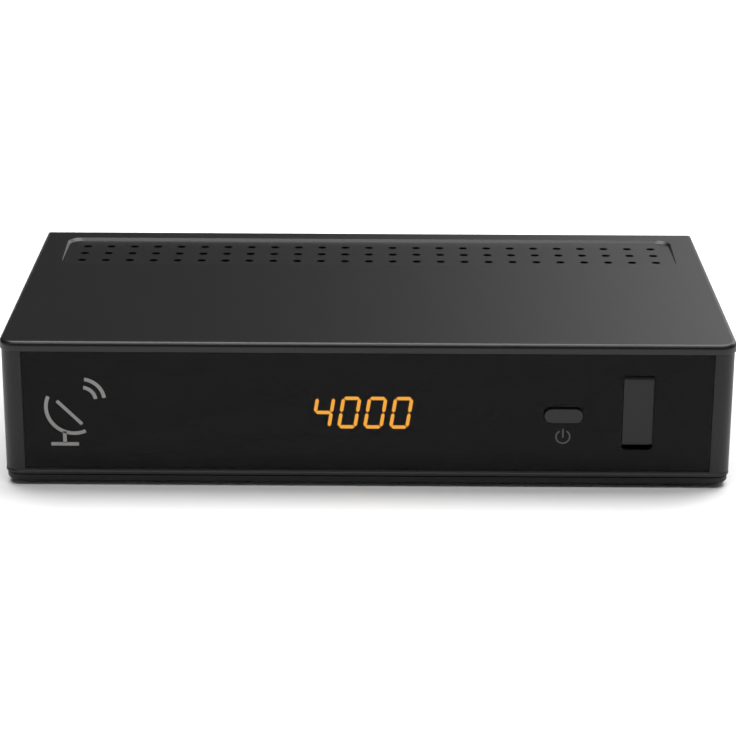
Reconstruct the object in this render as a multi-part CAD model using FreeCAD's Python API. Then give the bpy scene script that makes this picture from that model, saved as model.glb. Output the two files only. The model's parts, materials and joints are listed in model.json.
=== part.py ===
"""Satellite tv receiver, modelled as the separate pieces it is assembled from.

Sizes are in millimetres. X runs to the right as seen from the front, Y to the back and Z up.
The origin lies under the middle of the overall box, on the surface that the feet stand on.
"""

import FreeCAD
import Part

import math
import os

# Outer body, from the outside of the lid's rim
BODY_WIDTH = 220.0
BODY_DEPTH = 118.0
BODY_HEIGHT = 44.8
FOOT_HEIGHT = 1.2
CORNER_RADIUS = 5.5
REAR_CORNER = 0.0
SOCKET_REACH = 10.0

# Lid
LID_RIM = 3.05
LID_EDGE = 1.5
LID_THICKNESS = 2.2
WALL_INSET = 0.5
WALL = 2.2
SEAM = 0.6
FIT_GAP = 0.2
REAR_RETURN = 8.0

# Sunken field and vents
FIELD_HALF_WIDTH = 100.8
FIELD_FRONT = 80.0
FIELD_REAR = 109.3
FIELD_CORNER = 4.5
FIELD_DEPTH = 0.8
FIELD_SLOPE = 1.2
VENT_ROWS = 3
VENT_COLUMNS = 25
VENT_PITCH_X = 7.87
VENT_PITCH_Y = 8.6
VENT_MIDDLE = 93.3
VENT_DIAMETER = 2.8
VENT_SIDES = 6

# Front panel
PANEL_SETBACK = 0.6
WINDOW_THICKNESS = 2.0
WINDOW_MARGIN = 6.8
BACK_PLATE = 2.0
BEZEL_DEPTH = 9.0
BEZEL_WALL = 2.0
BEZEL_FLANGE = 1.6
RIB_HEIGHT = 1.0
RIB_PROUD = 0.35
RIB_LAND = 0.05
RIB_GROOVE = 0.5
WINDOW_GAP = 0.1

# Power button
BUTTON_INSET = 51.4
BUTTON_DROP = 0.5
BUTTON_WIDTH = 11.6
BUTTON_HEIGHT = 4.4
BUTTON_PROUD = 1.1
BUTTON_GAP = 0.4
BUTTON_EDGE = 0.6
BUTTON_FLANGE = 1.6
BUTTON_FLANGE_THICKNESS = 1.2
BUTTON_STEM = 2.4
BUTTON_TRAVEL = 0.5

# Tact switch behind the button
SWITCH_SIDE = 6.0
SWITCH_DEPTH = 3.5
PLUNGER_RADIUS = 1.75
PLUNGER_PROUD = 1.5
PLUNGER_LENGTH = 3.2
PLUNGER_CLEARANCE = 0.05

# Socket cover and its socket
FLAP_INSET = 29.15
FLAP_DROP = 9.6
FLAP_HEIGHT = 21.5
FLAP_WIDTH = 8.9
FLAP_THICKNESS = 1.3
FLAP_GAP = 0.2
FLAP_PIN_RADIUS = 0.5
FLAP_PIN_REACH = 1.2
FLAP_PIN_CLEARANCE = 0.05
SCOOP_HEIGHT = 1.9
SCOOP_RISE = 0.9
SCOOP_CORNER = 1.2
USB_WIDTH = 5.7
USB_HEIGHT = 13.1
USB_METAL = 0.3
USB_CAVITY = 11.8
USB_TONGUE = 1.84
USB_TONGUE_MARGIN = 0.7
USB_TONGUE_LENGTH = 8.4
USB_RECESS = 0.4

# Display
DISPLAY_OFFSET = 1.6
DISPLAY_DROP = 0.9
DISPLAY_HEIGHT = 14.0
DISPLAY_DEPTH = 7.25
DIGIT_COUNT = 4
DIGIT_PITCH = 7.8
DIGIT_HEIGHT = 10.16
DIGIT_WIDTH = 5.9
DIGIT_SLANT = 9.0
SEGMENT_WIDTH = 1.05
SEGMENT_GAP = 0.12
SEGMENT_THICKNESS = 0.1
HOLDER_WALL = 1.5

# Remote-control eye
EYE_OFFSET = 22.6
EYE_RADIUS = 2.6
EYE_BODY = 6.0
EYE_BODY_DEPTH = 3.2

# Circuit boards
BOARD_THICKNESS = 1.6
FRONT_BOARD_SETBACK = 15.2
FRONT_BOARD_MARGIN = 13.8
FRONT_BOARD_RIGHT_MARGIN = 15.15
FRONT_BOARD_LIFT = 5.1
FRONT_BOARD_HEADROOM = 3.8
MAIN_BOARD_GAP = 1.2
MAIN_BOARD_INSET = 14.0
BOARD_STANDOFF = 4.8
BOARD_POST_RADIUS = 2.6
SCREW_RADIUS = 1.0
SCREW_HEAD_RADIUS = 2.2
SCREW_HEAD_HEIGHT = 1.4
SCREW_LENGTH = 4.5
SCREW_CLEARANCE = 0.05
SCREW_SIDES = 8
BOARD_HOLE_CLEARANCE = 0.2
PILLAR_SIDES = 12
RING_SIDES = 24
BOARD_SCREW_EDGE = 4.5

# Tray, its pillars and the feet
TRAY_INSET = 0.9
TRAY_LIP = 2.2
TRAY_EDGE = 0.8
TRAY_RIB = 1.6
TRAY_RIB_HEIGHT = 4.6
CASE_SCREW_INSET = 9.2
CASE_SCREW_FRONT = 17.0
CASE_SCREW_REAR = 9.0
CASE_PILLAR_RADIUS = 4.0
CASE_PILLAR_HEIGHT = 8.8
CASE_SHOULDER = 3.8
CASE_SCREW_RADIUS = 1.45
CASE_SCREW_LENGTH = 12.0
CASE_HEAD_RADIUS = 2.8
CASE_HEAD_HEIGHT = 2.2
LID_POST_RADIUS = 3.5
FLOOR_SLOTS = 11
FLOOR_SLOT_PITCH = 7.0
FLOOR_SLOT_WIDTH = 2.6
FLOOR_SLOT_LENGTH = 34.0
FOOT_RADIUS = 6.0
FOOT_POCKET = 0.5
FOOT_INSET_X = 18.0
FOOT_INSET_Y = 15.0

# Rear plate
PLATE_THICKNESS = 0.8
CUT_CLEARANCE = 0.3

# F sockets and the screened tuner
TUNER_INSET = 22.0
TUNER_WIDTH = 34.0
TUNER_LENGTH = 46.0
TUNER_HEIGHT = 14.0
F_SPACING = 18.0
F_RISE = 7.0
F_RADIUS = 4.76
F_BORE = 3.4
F_BORE_DEPTH = 1.2
F_CONTACT_RADIUS = 0.6
F_CONTACT_DEPTH = 8.0
F_CHAMFER = 0.4
F_GROOVE = 0.6
F_GROOVE_DEPTH = 0.3
F_NUT_FLATS = 11.0
F_NUT_THICKNESS = 2.2
F_WASHER_RADIUS = 6.4
F_WASHER_THICKNESS = 0.5

# Digital sound socket
AUDIO_RISE = 6.6
AUDIO_BODY = 10.0
AUDIO_BODY_DEPTH = 9.5
AUDIO_COLLAR = 5.2
AUDIO_COLLAR_PROUD = 0.5
AUDIO_RADIUS = 4.15
AUDIO_REACH = 8.5
AUDIO_BORE = 1.6
AUDIO_CORE = 2.6
AUDIO_RING_WALL = 0.9
AUDIO_RING_DEPTH = 7.0

# Video socket
HDMI_WIDTH = 15.0
HDMI_HEIGHT = 5.6
HDMI_DEPTH = 12.0
HDMI_METAL = 0.5
HDMI_CAVITY = 9.0
HDMI_TONGUE_WIDTH = 11.2
HDMI_TONGUE = 1.0
HDMI_TONGUE_RISE = 3.4
HDMI_TONGUE_LENGTH = 7.2
HDMI_TAPER = 1.4

# Network socket
NETWORK_WIDTH = 16.0
NETWORK_HEIGHT = 13.4
NETWORK_DEPTH = 20.0
NETWORK_PORT_WIDTH = 11.9
NETWORK_PORT_BOTTOM = 3.2
NETWORK_PORT_TOP = 11.4
NETWORK_PORT_DEPTH = 12.0
NETWORK_LATCH_WIDTH = 6.2
NETWORK_LATCH_DROP = 2.0
NETWORK_WIRES = 8
NETWORK_WIRE_PITCH = 1.02
NETWORK_WIRE = 0.45

# Video and sound multi-pin socket
SCART_WIDTH = 47.0
SCART_HEIGHT = 15.0
SCART_DEPTH = 20.0
SCART_CORNER = 7.0
SCART_SHELL = 1.0
SCART_CHANNEL = 1.4
SCART_CHANNEL_DEPTH = 9.0
SCART_COLUMNS = 10
SCART_PITCH = 3.81
SCART_SLOT_WIDTH = 1.2
SCART_SLOT_HEIGHT = 4.4
SCART_SLOT_DEPTH = 8.0
SCART_ROW_OFFSET = 2.7

# Supply socket
SUPPLY_INSET = 22.5
SUPPLY_WIDTH = 9.0
SUPPLY_HEIGHT = 11.0
SUPPLY_DEPTH = 13.5
SUPPLY_BORE = 3.0
SUPPLY_BORE_DEPTH = 9.5
SUPPLY_PIN_RADIUS = 1.0
SUPPLY_PIN_LENGTH = 8.5
SUPPLY_NOSE = 2.0
SUPPLY_WALL = 1.1

# Viewing-card reader behind the left side wall
READER_Y = -4.0
READER_WIDTH = 60.0
READER_LENGTH = 56.0
READER_HEIGHT = 4.2
CARD_SLOT_WIDTH = 55.4
CARD_SLOT_HEIGHT = 1.4
CARD_SLOT_RISE = 1.6
CARD_SLOT_FLARE = 0.6

# Parts on the main board
CHIP_X = 8.0
CHIP_Y = 4.0
CHIP_SIDE = 23.0
CHIP_HEIGHT = 1.8
PAD_THICKNESS = 0.6
PAD_SIDE = 20.0
SINK_SIDE = 36.0
SINK_BASE = 2.4
SINK_HEIGHT = 13.0
SINK_FINS = 8
SINK_FIN = 1.4
MEMORY_WIDTH = 10.0
MEMORY_LENGTH = 13.0
MEMORY_HEIGHT = 1.1
FLASH_WIDTH = 5.2
FLASH_LENGTH = 7.9
FLASH_HEIGHT = 1.9
CAN_SIDES = 12
BIG_CAN = (5.0, 16.0)
MIDDLE_CAN = (4.0, 11.5)
SMALL_CAN = (3.15, 7.0)
PART_GAP = 2.0
COIL_SIDE = 12.0
COIL_HEIGHT = 7.0
CRYSTAL_LENGTH = 11.0
CRYSTAL_WIDTH = 4.6
CRYSTAL_HEIGHT = 3.5
LINK_PINS = 12
LINK_PITCH = 2.54
LINK_OFFSET = 23.6
LINK_RISE = 4.0
LINK_BLOCK = 2.5
LINK_PIN = 0.64
LINK_PIN_REACH = 2.2

# Places that follow from the sizes above
FRONT_LIP = max(BUTTON_PROUD - PANEL_SETBACK, 0.0)
TOTAL_DEPTH = FRONT_LIP + BODY_DEPTH + SOCKET_REACH
LID_FRONT = FRONT_LIP - TOTAL_DEPTH / 2
BODY_REAR = LID_FRONT + BODY_DEPTH
SOCKET_TIP = BODY_REAR + SOCKET_REACH
HALF_WIDTH = BODY_WIDTH / 2
TOP = FOOT_HEIGHT + BODY_HEIGHT
RIM_BOTTOM = TOP - LID_RIM
LIP_TOP = FOOT_HEIGHT + TRAY_LIP
WALL_BOTTOM = LIP_TOP + SEAM
WALL_INNER = WALL_INSET + WALL
PANEL_FACE = LID_FRONT + PANEL_SETBACK
WINDOW_BACK = PANEL_FACE + WINDOW_THICKNESS
PLATE_BACK = WINDOW_BACK + BACK_PLATE
BEZEL_TOP = RIM_BOTTOM - FIT_GAP
BEZEL_REAR = LID_FRONT + BEZEL_DEPTH
WINDOW_HALF = HALF_WIDTH - WINDOW_MARGIN
WINDOW_BOTTOM = WALL_BOTTOM + RIB_HEIGHT + RIB_GROOVE
PANEL_MIDDLE = (WINDOW_BOTTOM + BEZEL_TOP) / 2
BUTTON_X = HALF_WIDTH - BUTTON_INSET
BUTTON_Z = PANEL_MIDDLE - BUTTON_DROP
FLAP_X = HALF_WIDTH - FLAP_INSET
FLAP_BOTTOM = PANEL_MIDDLE - FLAP_DROP
DISPLAY_X = -DISPLAY_OFFSET
DISPLAY_Z = PANEL_MIDDLE - DISPLAY_DROP
DISPLAY_WIDTH = DIGIT_COUNT * DIGIT_PITCH
EYE_X = BUTTON_X - EYE_OFFSET
FRONT_BOARD_LEFT = DISPLAY_X - DISPLAY_WIDTH / 2 - FRONT_BOARD_MARGIN
FRONT_BOARD_RIGHT = FLAP_X + FRONT_BOARD_RIGHT_MARGIN
FRONT_BOARD_BOTTOM = LIP_TOP + FRONT_BOARD_LIFT
FRONT_BOARD_TOP = TOP - LID_THICKNESS - FRONT_BOARD_HEADROOM
FRONT_BOARD_Y = PANEL_FACE + FRONT_BOARD_SETBACK
FRONT_BOARD_BACK = FRONT_BOARD_Y + BOARD_THICKNESS
BOARD_BOTTOM = LIP_TOP + BOARD_STANDOFF
BOARD_TOP = BOARD_BOTTOM + BOARD_THICKNESS
BOARD_FRONT = FRONT_BOARD_BACK + MAIN_BOARD_GAP
PLATE_OUTER = BODY_REAR - WALL_INNER
PLATE_INNER = PLATE_OUTER - PLATE_THICKNESS
BOARD_REAR = PLATE_INNER - MAIN_BOARD_GAP
FLAP_TOP = FLAP_BOTTOM + FLAP_HEIGHT
FLAP_AXIS_Y = PANEL_FACE + FLAP_THICKNESS
FLAP_AXIS_Z = FLAP_TOP - FLAP_THICKNESS
USB_Z = FLAP_BOTTOM + FLAP_HEIGHT / 2 - SCOOP_HEIGHT / 2
CASE_JOINT = FOOT_HEIGHT + CASE_PILLAR_HEIGHT
DISPLAY_FACE = WINDOW_BACK + FIT_GAP
MAIN_BOARD_HALF_WIDTH = HALF_WIDTH - MAIN_BOARD_INSET
LINK_X = DISPLAY_X + LINK_OFFSET
ROW_RIGHT = HALF_WIDTH - TUNER_INSET
ROW_LEFT = SUPPLY_INSET - HALF_WIDTH
ROW_WIDTHS = SUPPLY_WIDTH + SCART_WIDTH + NETWORK_WIDTH + HDMI_WIDTH + AUDIO_BODY + TUNER_WIDTH
ROW_GAP = (ROW_RIGHT - ROW_LEFT - ROW_WIDTHS) / 5
SUPPLY_X = ROW_LEFT + SUPPLY_WIDTH / 2
SCART_X = SUPPLY_X + SUPPLY_WIDTH / 2 + ROW_GAP + SCART_WIDTH / 2
NETWORK_X = SCART_X + SCART_WIDTH / 2 + ROW_GAP + NETWORK_WIDTH / 2
HDMI_X = NETWORK_X + NETWORK_WIDTH / 2 + ROW_GAP + HDMI_WIDTH / 2
AUDIO_X = HDMI_X + HDMI_WIDTH / 2 + ROW_GAP + AUDIO_BODY / 2
TUNER_X = ROW_RIGHT - TUNER_WIDTH / 2
SOCKET_MOUTH = PLATE_OUTER + FIT_GAP
SUPPLY_NOSE_RADIUS = SUPPLY_BORE + SUPPLY_WALL
READER_LEFT = -HALF_WIDTH + WALL_INNER + FIT_GAP
READER_RIGHT = READER_LEFT + READER_LENGTH


def vector(x, y, z):
    """A point or a direction."""
    return FreeCAD.Vector(x, y, z)


def block(x0, x1, y0, y1, z0, z1):
    """A box between two corners."""
    return Part.makeBox(x1 - x0, y1 - y0, z1 - z0, vector(x0, y0, z0))


def centred_block(x, y0, y1, z, width, height):
    """A box that runs along Y, centred on (x, z)."""
    return block(x - width / 2, x + width / 2, y0, y1, z - height / 2, z + height / 2)


def rod_x(x0, x1, y, z, radius):
    """A cylinder along X."""
    return Part.makeCylinder(radius, x1 - x0, vector(x0, y, z), vector(1, 0, 0))


def rod_y(x, y0, y1, z, radius):
    """A cylinder along Y."""
    return Part.makeCylinder(radius, y1 - y0, vector(x, y0, z), vector(0, 1, 0))


def rod_z(x, y, z0, z1, radius):
    """A cylinder along Z."""
    return Part.makeCylinder(radius, z1 - z0, vector(x, y, z0), vector(0, 0, 1))


def faceted_rod(base, along, length, radius, sides):
    """A bar of even sides that stands for a small round one, from a point along a direction."""
    side = vector(1, 0, 0) if abs(along.x) < 0.5 else vector(0, 1, 0)
    up = along.cross(side)
    corners = []
    for index in range(sides):
        turn = 2 * math.pi * (index + 0.5) / sides
        corners.append(base + side * (radius * math.cos(turn)) + up * (radius * math.sin(turn)))
    face = Part.Face(Part.makePolygon(corners + corners[:1]))
    return face.extrude(along * length)


def small_rod_y(x, y0, y1, z, radius):
    """A many-sided bar along Y, for screws and their holes."""
    return faceted_rod(vector(x, y0, z), vector(0, 1, 0), y1 - y0, radius, SCREW_SIDES)


def small_rod_z(x, y, z0, z1, radius):
    """A many-sided bar along Z, for screws and their holes."""
    return faceted_rod(vector(x, y, z0), vector(0, 0, 1), z1 - z0, radius, SCREW_SIDES)


def pillar(x, y, z0, z1, radius):
    """A many-sided pillar, pocket or pad along Z."""
    return faceted_rod(vector(x, y, z0), vector(0, 0, 1), z1 - z0, radius, PILLAR_SIDES)


def ring_bar(x, y0, y1, z, radius):
    """A many-sided bar along Y for washers, collars and sleeves."""
    return faceted_rod(vector(x, y0, z), vector(0, 1, 0), y1 - y0, radius, RING_SIDES)


def ring_hole(x, y0, y1, z, radius):
    """A many-sided hole along Y that clears a round bar of this radius all round."""
    return ring_bar(x, y0, y1, z, radius / math.cos(math.pi / RING_SIDES))


def rounded_wire(x0, x1, y0, y1, z, radius, rear_radius=None):
    """A flat rectangle at height z with round corners; the rear two may differ, or be square."""
    rear = radius if rear_radius is None else rear_radius
    ends = []
    for x, y, start, bend in [
        (x1, y0, -90, radius), (x1, y1, 0, rear), (x0, y1, 90, rear), (x0, y0, 180, radius)
    ]:
        centre_x = x - bend if x == x1 else x + bend
        centre_y = y - bend if y == y1 else y + bend
        points = []
        for angle in (start, start + 45, start + 90):
            turn = math.radians(angle)
            points.append(
                vector(centre_x + bend * math.cos(turn), centre_y + bend * math.sin(turn), z)
            )
        ends.append((points, bend))
    edges = []
    for index, (points, bend) in enumerate(ends):
        if bend > 0:
            edges.append(Part.Arc(*points).toShape())
        following = ends[(index + 1) % len(ends)][0]
        edges.append(Part.LineSegment(points[2], following[0]).toShape())
    return Part.Wire(edges)


def rounded_prism(x0, x1, y0, y1, z0, z1, radius, rear_radius=None):
    """A plate with round corners in plan."""
    face = Part.Face(rounded_wire(x0, x1, y0, y1, z0, radius, rear_radius))
    return face.extrude(vector(0, 0, z1 - z0))


def stadium_face(along, across, centre, length, width):
    """A flat face with half-round ends, spread from its centre by two unit directions."""
    radius = width / 2
    reach = length / 2 - radius

    def point(far, side):
        return centre + along * far + across * side

    top = Part.Arc(point(reach, radius), point(reach + radius, 0), point(reach, -radius))
    foot = Part.Arc(point(-reach, -radius), point(-reach - radius, 0), point(-reach, radius))
    low = Part.LineSegment(point(reach, -radius), point(-reach, -radius))
    high = Part.LineSegment(point(-reach, radius), point(reach, radius))
    wire = Part.Wire([top.toShape(), low.toShape(), foot.toShape(), high.toShape()])
    return Part.Face(wire)


def stadium(x, z, width, height, y0, y1):
    """A bar along Y whose section is a rectangle with half-round ends."""
    face = stadium_face(vector(1, 0, 0), vector(0, 0, 1), vector(x, y0, z), width, height)
    return face.extrude(vector(0, y1 - y0, 0))


def prism_x(points, x0, x1):
    """A profile of (y, z) points carried along X."""
    corners = [vector(x0, y, z) for y, z in points]
    face = Part.Face(Part.makePolygon(corners + corners[:1]))
    return face.extrude(vector(x1 - x0, 0, 0))


def prism_y(points, y0, y1):
    """A profile of (x, z) points carried along Y."""
    corners = [vector(x, y0, z) for x, z in points]
    face = Part.Face(Part.makePolygon(corners + corners[:1]))
    return face.extrude(vector(0, y1 - y0, 0))


def edges_where(shape, test):
    """The edges of a shape whose middle and box pass a test."""
    return [edge for edge in shape.Edges if test(edge)]


def flat_edges_at(shape, height):
    """The edges that lie at one height."""
    def lies_there(edge):
        box = edge.BoundBox
        return abs(box.ZMin - height) < 1e-4 and abs(box.ZMax - height) < 1e-4
    return edges_where(shape, lies_there)


def upright_edges_at(shape, y):
    """The edges that lie in one plane across Y."""
    def lies_there(edge):
        box = edge.BoundBox
        return abs(box.YMin - y) < 1e-4 and abs(box.YMax - y) < 1e-4
    return edges_where(shape, lies_there)


def save(name, shape):
    """Writes one piece, or a group of like pieces, under its name."""
    shape.exportStep("parts/" + name + ".step")


def case_screw_places():
    """Where the four case screws stand, in plan."""
    across = HALF_WIDTH - CASE_SCREW_INSET
    front = LID_FRONT + CASE_SCREW_FRONT
    rear = BODY_REAR - CASE_SCREW_REAR
    return [(side * across, y) for side in (-1, 1) for y in (front, rear)]


def main_board_screw_places():
    """Where the main board is held, in plan."""
    across = MAIN_BOARD_HALF_WIDTH - BOARD_SCREW_EDGE
    front = BOARD_FRONT + BOARD_SCREW_EDGE
    rear = BOARD_REAR - BOARD_SCREW_EDGE
    return [(side * across, y) for side in (-1, 1) for y in (front, rear)]


def front_board_screw_places():
    """Where the front board is held, in elevation."""
    left = FRONT_BOARD_LEFT + BOARD_SCREW_EDGE
    right = FRONT_BOARD_RIGHT - BOARD_SCREW_EDGE
    low = FRONT_BOARD_BOTTOM + BOARD_SCREW_EDGE
    high = FRONT_BOARD_TOP - BOARD_SCREW_EDGE
    return [(x, z) for x in (left, right) for z in (low, high)]


def foot_places():
    """Where the four feet are stuck on, in plan."""
    across = HALF_WIDTH - FOOT_INSET_X
    front = LID_FRONT + FOOT_INSET_Y
    rear = BODY_REAR - FOOT_INSET_Y
    return [(side * across, y) for side in (-1, 1) for y in (front, rear)]


def sunken_field():
    """The space taken out of the lid round the vents: it deepens evenly to the back."""
    y0 = LID_FRONT + FIELD_FRONT
    y1 = LID_FRONT + FIELD_REAR
    half = FIELD_HALF_WIDTH
    above = FIELD_DEPTH / 2
    spread = FIELD_SLOPE / FIELD_DEPTH
    rise = spread * above
    mouth = rounded_wire(
        -half - rise, half + rise, y0 - rise, y1 + rise, TOP + above, FIELD_CORNER + rise
    )
    low = FIELD_SLOPE
    root = rounded_wire(
        -half + low, half - low, y0 + low, y1 - low, TOP - FIELD_DEPTH, FIELD_CORNER - low
    )
    basin = Part.makeLoft([mouth, root], True, True)
    ramp = prism_x(
        [
            (y0, TOP),
            (y1 - FIELD_SLOPE, TOP - FIELD_DEPTH),
            (y1 + FIELD_SLOPE, TOP - FIELD_DEPTH),
            (y1 + FIELD_SLOPE, TOP + above),
            (y0, TOP + above),
        ],
        -half - rise,
        half + rise,
    )
    return basin.common(ramp)


def vent_holes():
    """The three rows of round vents, as one compound of tools."""
    holes = []
    for row in range(VENT_ROWS):
        y = LID_FRONT + VENT_MIDDLE + (row - (VENT_ROWS - 1) / 2) * VENT_PITCH_Y
        for column in range(VENT_COLUMNS):
            x = (column - (VENT_COLUMNS - 1) / 2) * VENT_PITCH_X
            base = vector(x, y, TOP - 2 * LID_THICKNESS)
            reach = 3 * LID_THICKNESS
            holes.append(
                faceted_rod(base, vector(0, 0, 1), reach, VENT_DIAMETER / 2, VENT_SIDES)
            )
    return Part.makeCompound(holes)


def card_mouth():
    """The flared slot in the left side wall, in front of the card reader."""
    z = BOARD_TOP + CARD_SLOT_RISE + CARD_SLOT_HEIGHT / 2
    outer = -HALF_WIDTH + WALL_INSET
    half = CARD_SLOT_HEIGHT / 2 + CARD_SLOT_FLARE
    long_half = CARD_SLOT_WIDTH / 2 + CARD_SLOT_FLARE
    return block(
        outer - 1, outer + WALL + 1, READER_Y - long_half, READER_Y + long_half, z - half, z + half
    )


def top_cover():
    """The lid, its side walls and the posts that the case screws enter."""
    lid = rounded_prism(
        -HALF_WIDTH, HALF_WIDTH, LID_FRONT, BODY_REAR, RIM_BOTTOM, TOP, CORNER_RADIUS, REAR_CORNER
    )
    lid = lid.makeFillet(LID_EDGE, flat_edges_at(lid, TOP))
    inner = HALF_WIDTH - WALL_INNER
    hollow = rounded_prism(
        -inner, inner, LID_FRONT + WALL_INNER, BODY_REAR - WALL_INNER,
        WALL_BOTTOM - 1, TOP - LID_THICKNESS, CORNER_RADIUS - WALL_INNER, REAR_CORNER,
    )
    outer = HALF_WIDTH - WALL_INSET
    walls = rounded_prism(
        -outer, outer, LID_FRONT + WALL_INSET, BODY_REAR - WALL_INSET,
        WALL_BOTTOM, RIM_BOTTOM, CORNER_RADIUS - WALL_INSET, REAR_CORNER,
    )
    front_gap = block(
        -HALF_WIDTH, HALF_WIDTH, LID_FRONT - 1, BEZEL_REAR + FIT_GAP, WALL_BOTTOM - 1, RIM_BOTTOM
    )
    rear_half = HALF_WIDTH - REAR_RETURN
    rear_gap = block(
        -rear_half, rear_half, BODY_REAR - WALL_INNER - 1, BODY_REAR + 1,
        WALL_BOTTOM - 1, RIM_BOTTOM,
    )
    walls = walls.cut([front_gap, rear_gap])
    cover = lid.fuse(walls).removeSplitter().cut(hollow)
    posts = []
    pilots = []
    for x, y in case_screw_places():
        posts.append(pillar(x, y, CASE_JOINT, TOP - LID_THICKNESS, LID_POST_RADIUS))
        pilot_top = CASE_JOINT + CASE_SCREW_LENGTH
        pilots.append(
            small_rod_z(x, y, CASE_JOINT, pilot_top, CASE_SCREW_RADIUS + SCREW_CLEARANCE)
        )
    cover = cover.fuse(posts).cut(pilots)
    return cover.cut([sunken_field(), card_mouth()]).cut(vent_holes())


def scoop_tool():
    """The finger-nail scoop under the socket cover, sloped up towards the back."""
    half = FLAP_WIDTH / 2 + FLAP_GAP
    low = FLAP_BOTTOM - SCOOP_HEIGHT
    mouth = block(
        FLAP_X - half, FLAP_X + half, PANEL_FACE, WINDOW_BACK, low, FLAP_BOTTOM
    )
    corners = edges_where(
        mouth,
        lambda edge: edge.BoundBox.ZMax < low + 1e-4 and edge.BoundBox.YLength > 1,
    )
    mouth = mouth.makeFillet(SCOOP_CORNER, corners)
    above_floor = prism_x(
        [
            (PANEL_FACE, low),
            (WINDOW_BACK, low + SCOOP_RISE),
            (WINDOW_BACK, FLAP_BOTTOM),
            (PANEL_FACE, FLAP_BOTTOM),
        ],
        FLAP_X - half,
        FLAP_X + half,
    )
    return mouth.common(above_floor)


def flap_opening(y0, y1):
    """The hole that the socket cover closes."""
    half = FLAP_WIDTH / 2 + FLAP_GAP
    return block(FLAP_X - half, FLAP_X + half, y0, y1, FLAP_BOTTOM - FLAP_GAP, FLAP_TOP + FLAP_GAP)


def button_opening(y0, y1):
    """The hole that the power button slides in."""
    grow = 2 * BUTTON_GAP
    return stadium(BUTTON_X, BUTTON_Z, BUTTON_WIDTH + grow, BUTTON_HEIGHT + grow, y0, y1)


def front_window():
    """The smoked plate, with its holes and the open seats of the cover's pins."""
    half = WINDOW_HALF - WINDOW_GAP
    plate = block(
        -half, half, PANEL_FACE, WINDOW_BACK, WINDOW_BOTTOM + WINDOW_GAP, BEZEL_TOP
    )
    reach = FLAP_WIDTH / 2 + FLAP_PIN_REACH + FIT_GAP
    pin_seat = FLAP_PIN_RADIUS + FLAP_PIN_CLEARANCE
    seat = rod_x(FLAP_X - reach, FLAP_X + reach, FLAP_AXIS_Y, FLAP_AXIS_Z, pin_seat)
    way_in = block(
        FLAP_X - reach, FLAP_X + reach, FLAP_AXIS_Y, WINDOW_BACK,
        FLAP_AXIS_Z - pin_seat, FLAP_AXIS_Z + pin_seat,
    )
    tools = [
        button_opening(PANEL_FACE - 1, WINDOW_BACK + 1),
        flap_opening(PANEL_FACE - 1, WINDOW_BACK + 1),
        scoop_tool(),
        seat,
        way_in,
    ]
    return plate.cut(tools)


def front_bezel():
    """The front frame: corners, back plate, flanges, the bottom rib and the board posts."""
    outer = HALF_WIDTH - WALL_INSET
    radius = CORNER_RADIUS - WALL_INSET
    beyond = BEZEL_REAR + 2 * radius
    shell = rounded_prism(
        -outer, outer, PANEL_FACE, beyond, WALL_BOTTOM, BEZEL_TOP, radius
    )
    rib = rounded_prism(
        -outer, outer, PANEL_FACE - RIB_PROUD, beyond,
        WALL_BOTTOM, WALL_BOTTOM + RIB_HEIGHT, radius,
    )
    rib = rib.makeChamfer(RIB_PROUD - RIB_LAND, flat_edges_at(rib, WALL_BOTTOM + RIB_HEIGHT))
    trim = block(
        -HALF_WIDTH, HALF_WIDTH, BEZEL_REAR, beyond + 1, WALL_BOTTOM - 1, BEZEL_TOP + 1
    )
    inner = outer - BEZEL_WALL
    cavity = block(
        -inner, inner, PLATE_BACK, BEZEL_REAR + 1,
        WALL_BOTTOM + BEZEL_FLANGE, BEZEL_TOP - BEZEL_FLANGE,
    )
    recess = block(
        -WINDOW_HALF, WINDOW_HALF, PANEL_FACE - 1, WINDOW_BACK, WINDOW_BOTTOM, BEZEL_TOP + 1
    )
    bezel = shell.fuse(rib).cut([trim, cavity, recess])
    posts = []
    pilots = []
    for x, z in front_board_screw_places():
        posts.append(small_rod_y(x, PLATE_BACK, FRONT_BOARD_Y, z, BOARD_POST_RADIUS))
        pilot_end = FRONT_BOARD_BACK - SCREW_LENGTH - FIT_GAP
        pilots.append(
            small_rod_y(x, pilot_end, FRONT_BOARD_Y, z, SCREW_RADIUS + SCREW_CLEARANCE)
        )
    bezel = bezel.fuse(posts).cut(pilots)
    sweep = FLAP_THICKNESS + FIT_GAP
    half = FLAP_WIDTH / 2 + FLAP_GAP
    barrel_way = block(
        FLAP_X - half, FLAP_X + half, WINDOW_BACK, FLAP_AXIS_Y + sweep,
        FLAP_AXIS_Z - sweep, FLAP_AXIS_Z + sweep,
    )
    tools = [
        barrel_way,
        centred_block(
            BUTTON_X, WINDOW_BACK - 1, PLATE_BACK + 1, BUTTON_Z,
            BUTTON_WIDTH + 2 * BUTTON_GAP, BUTTON_HEIGHT + 2 * BUTTON_GAP,
        ),
        centred_block(
            FLAP_X, WINDOW_BACK - 1, PLATE_BACK + 1, USB_Z,
            USB_WIDTH + 2 * CUT_CLEARANCE, USB_HEIGHT + 2 * CUT_CLEARANCE,
        ),
        centred_block(
            DISPLAY_X, WINDOW_BACK - 1, PLATE_BACK + 1, DISPLAY_Z,
            DISPLAY_WIDTH + 2 * CUT_CLEARANCE, DISPLAY_HEIGHT + 2 * CUT_CLEARANCE,
        ),
        ring_hole(EYE_X, WINDOW_BACK - 1, PLATE_BACK + 1, DISPLAY_Z, EYE_RADIUS + CUT_CLEARANCE),
    ]
    return bezel.cut(tools)


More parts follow.
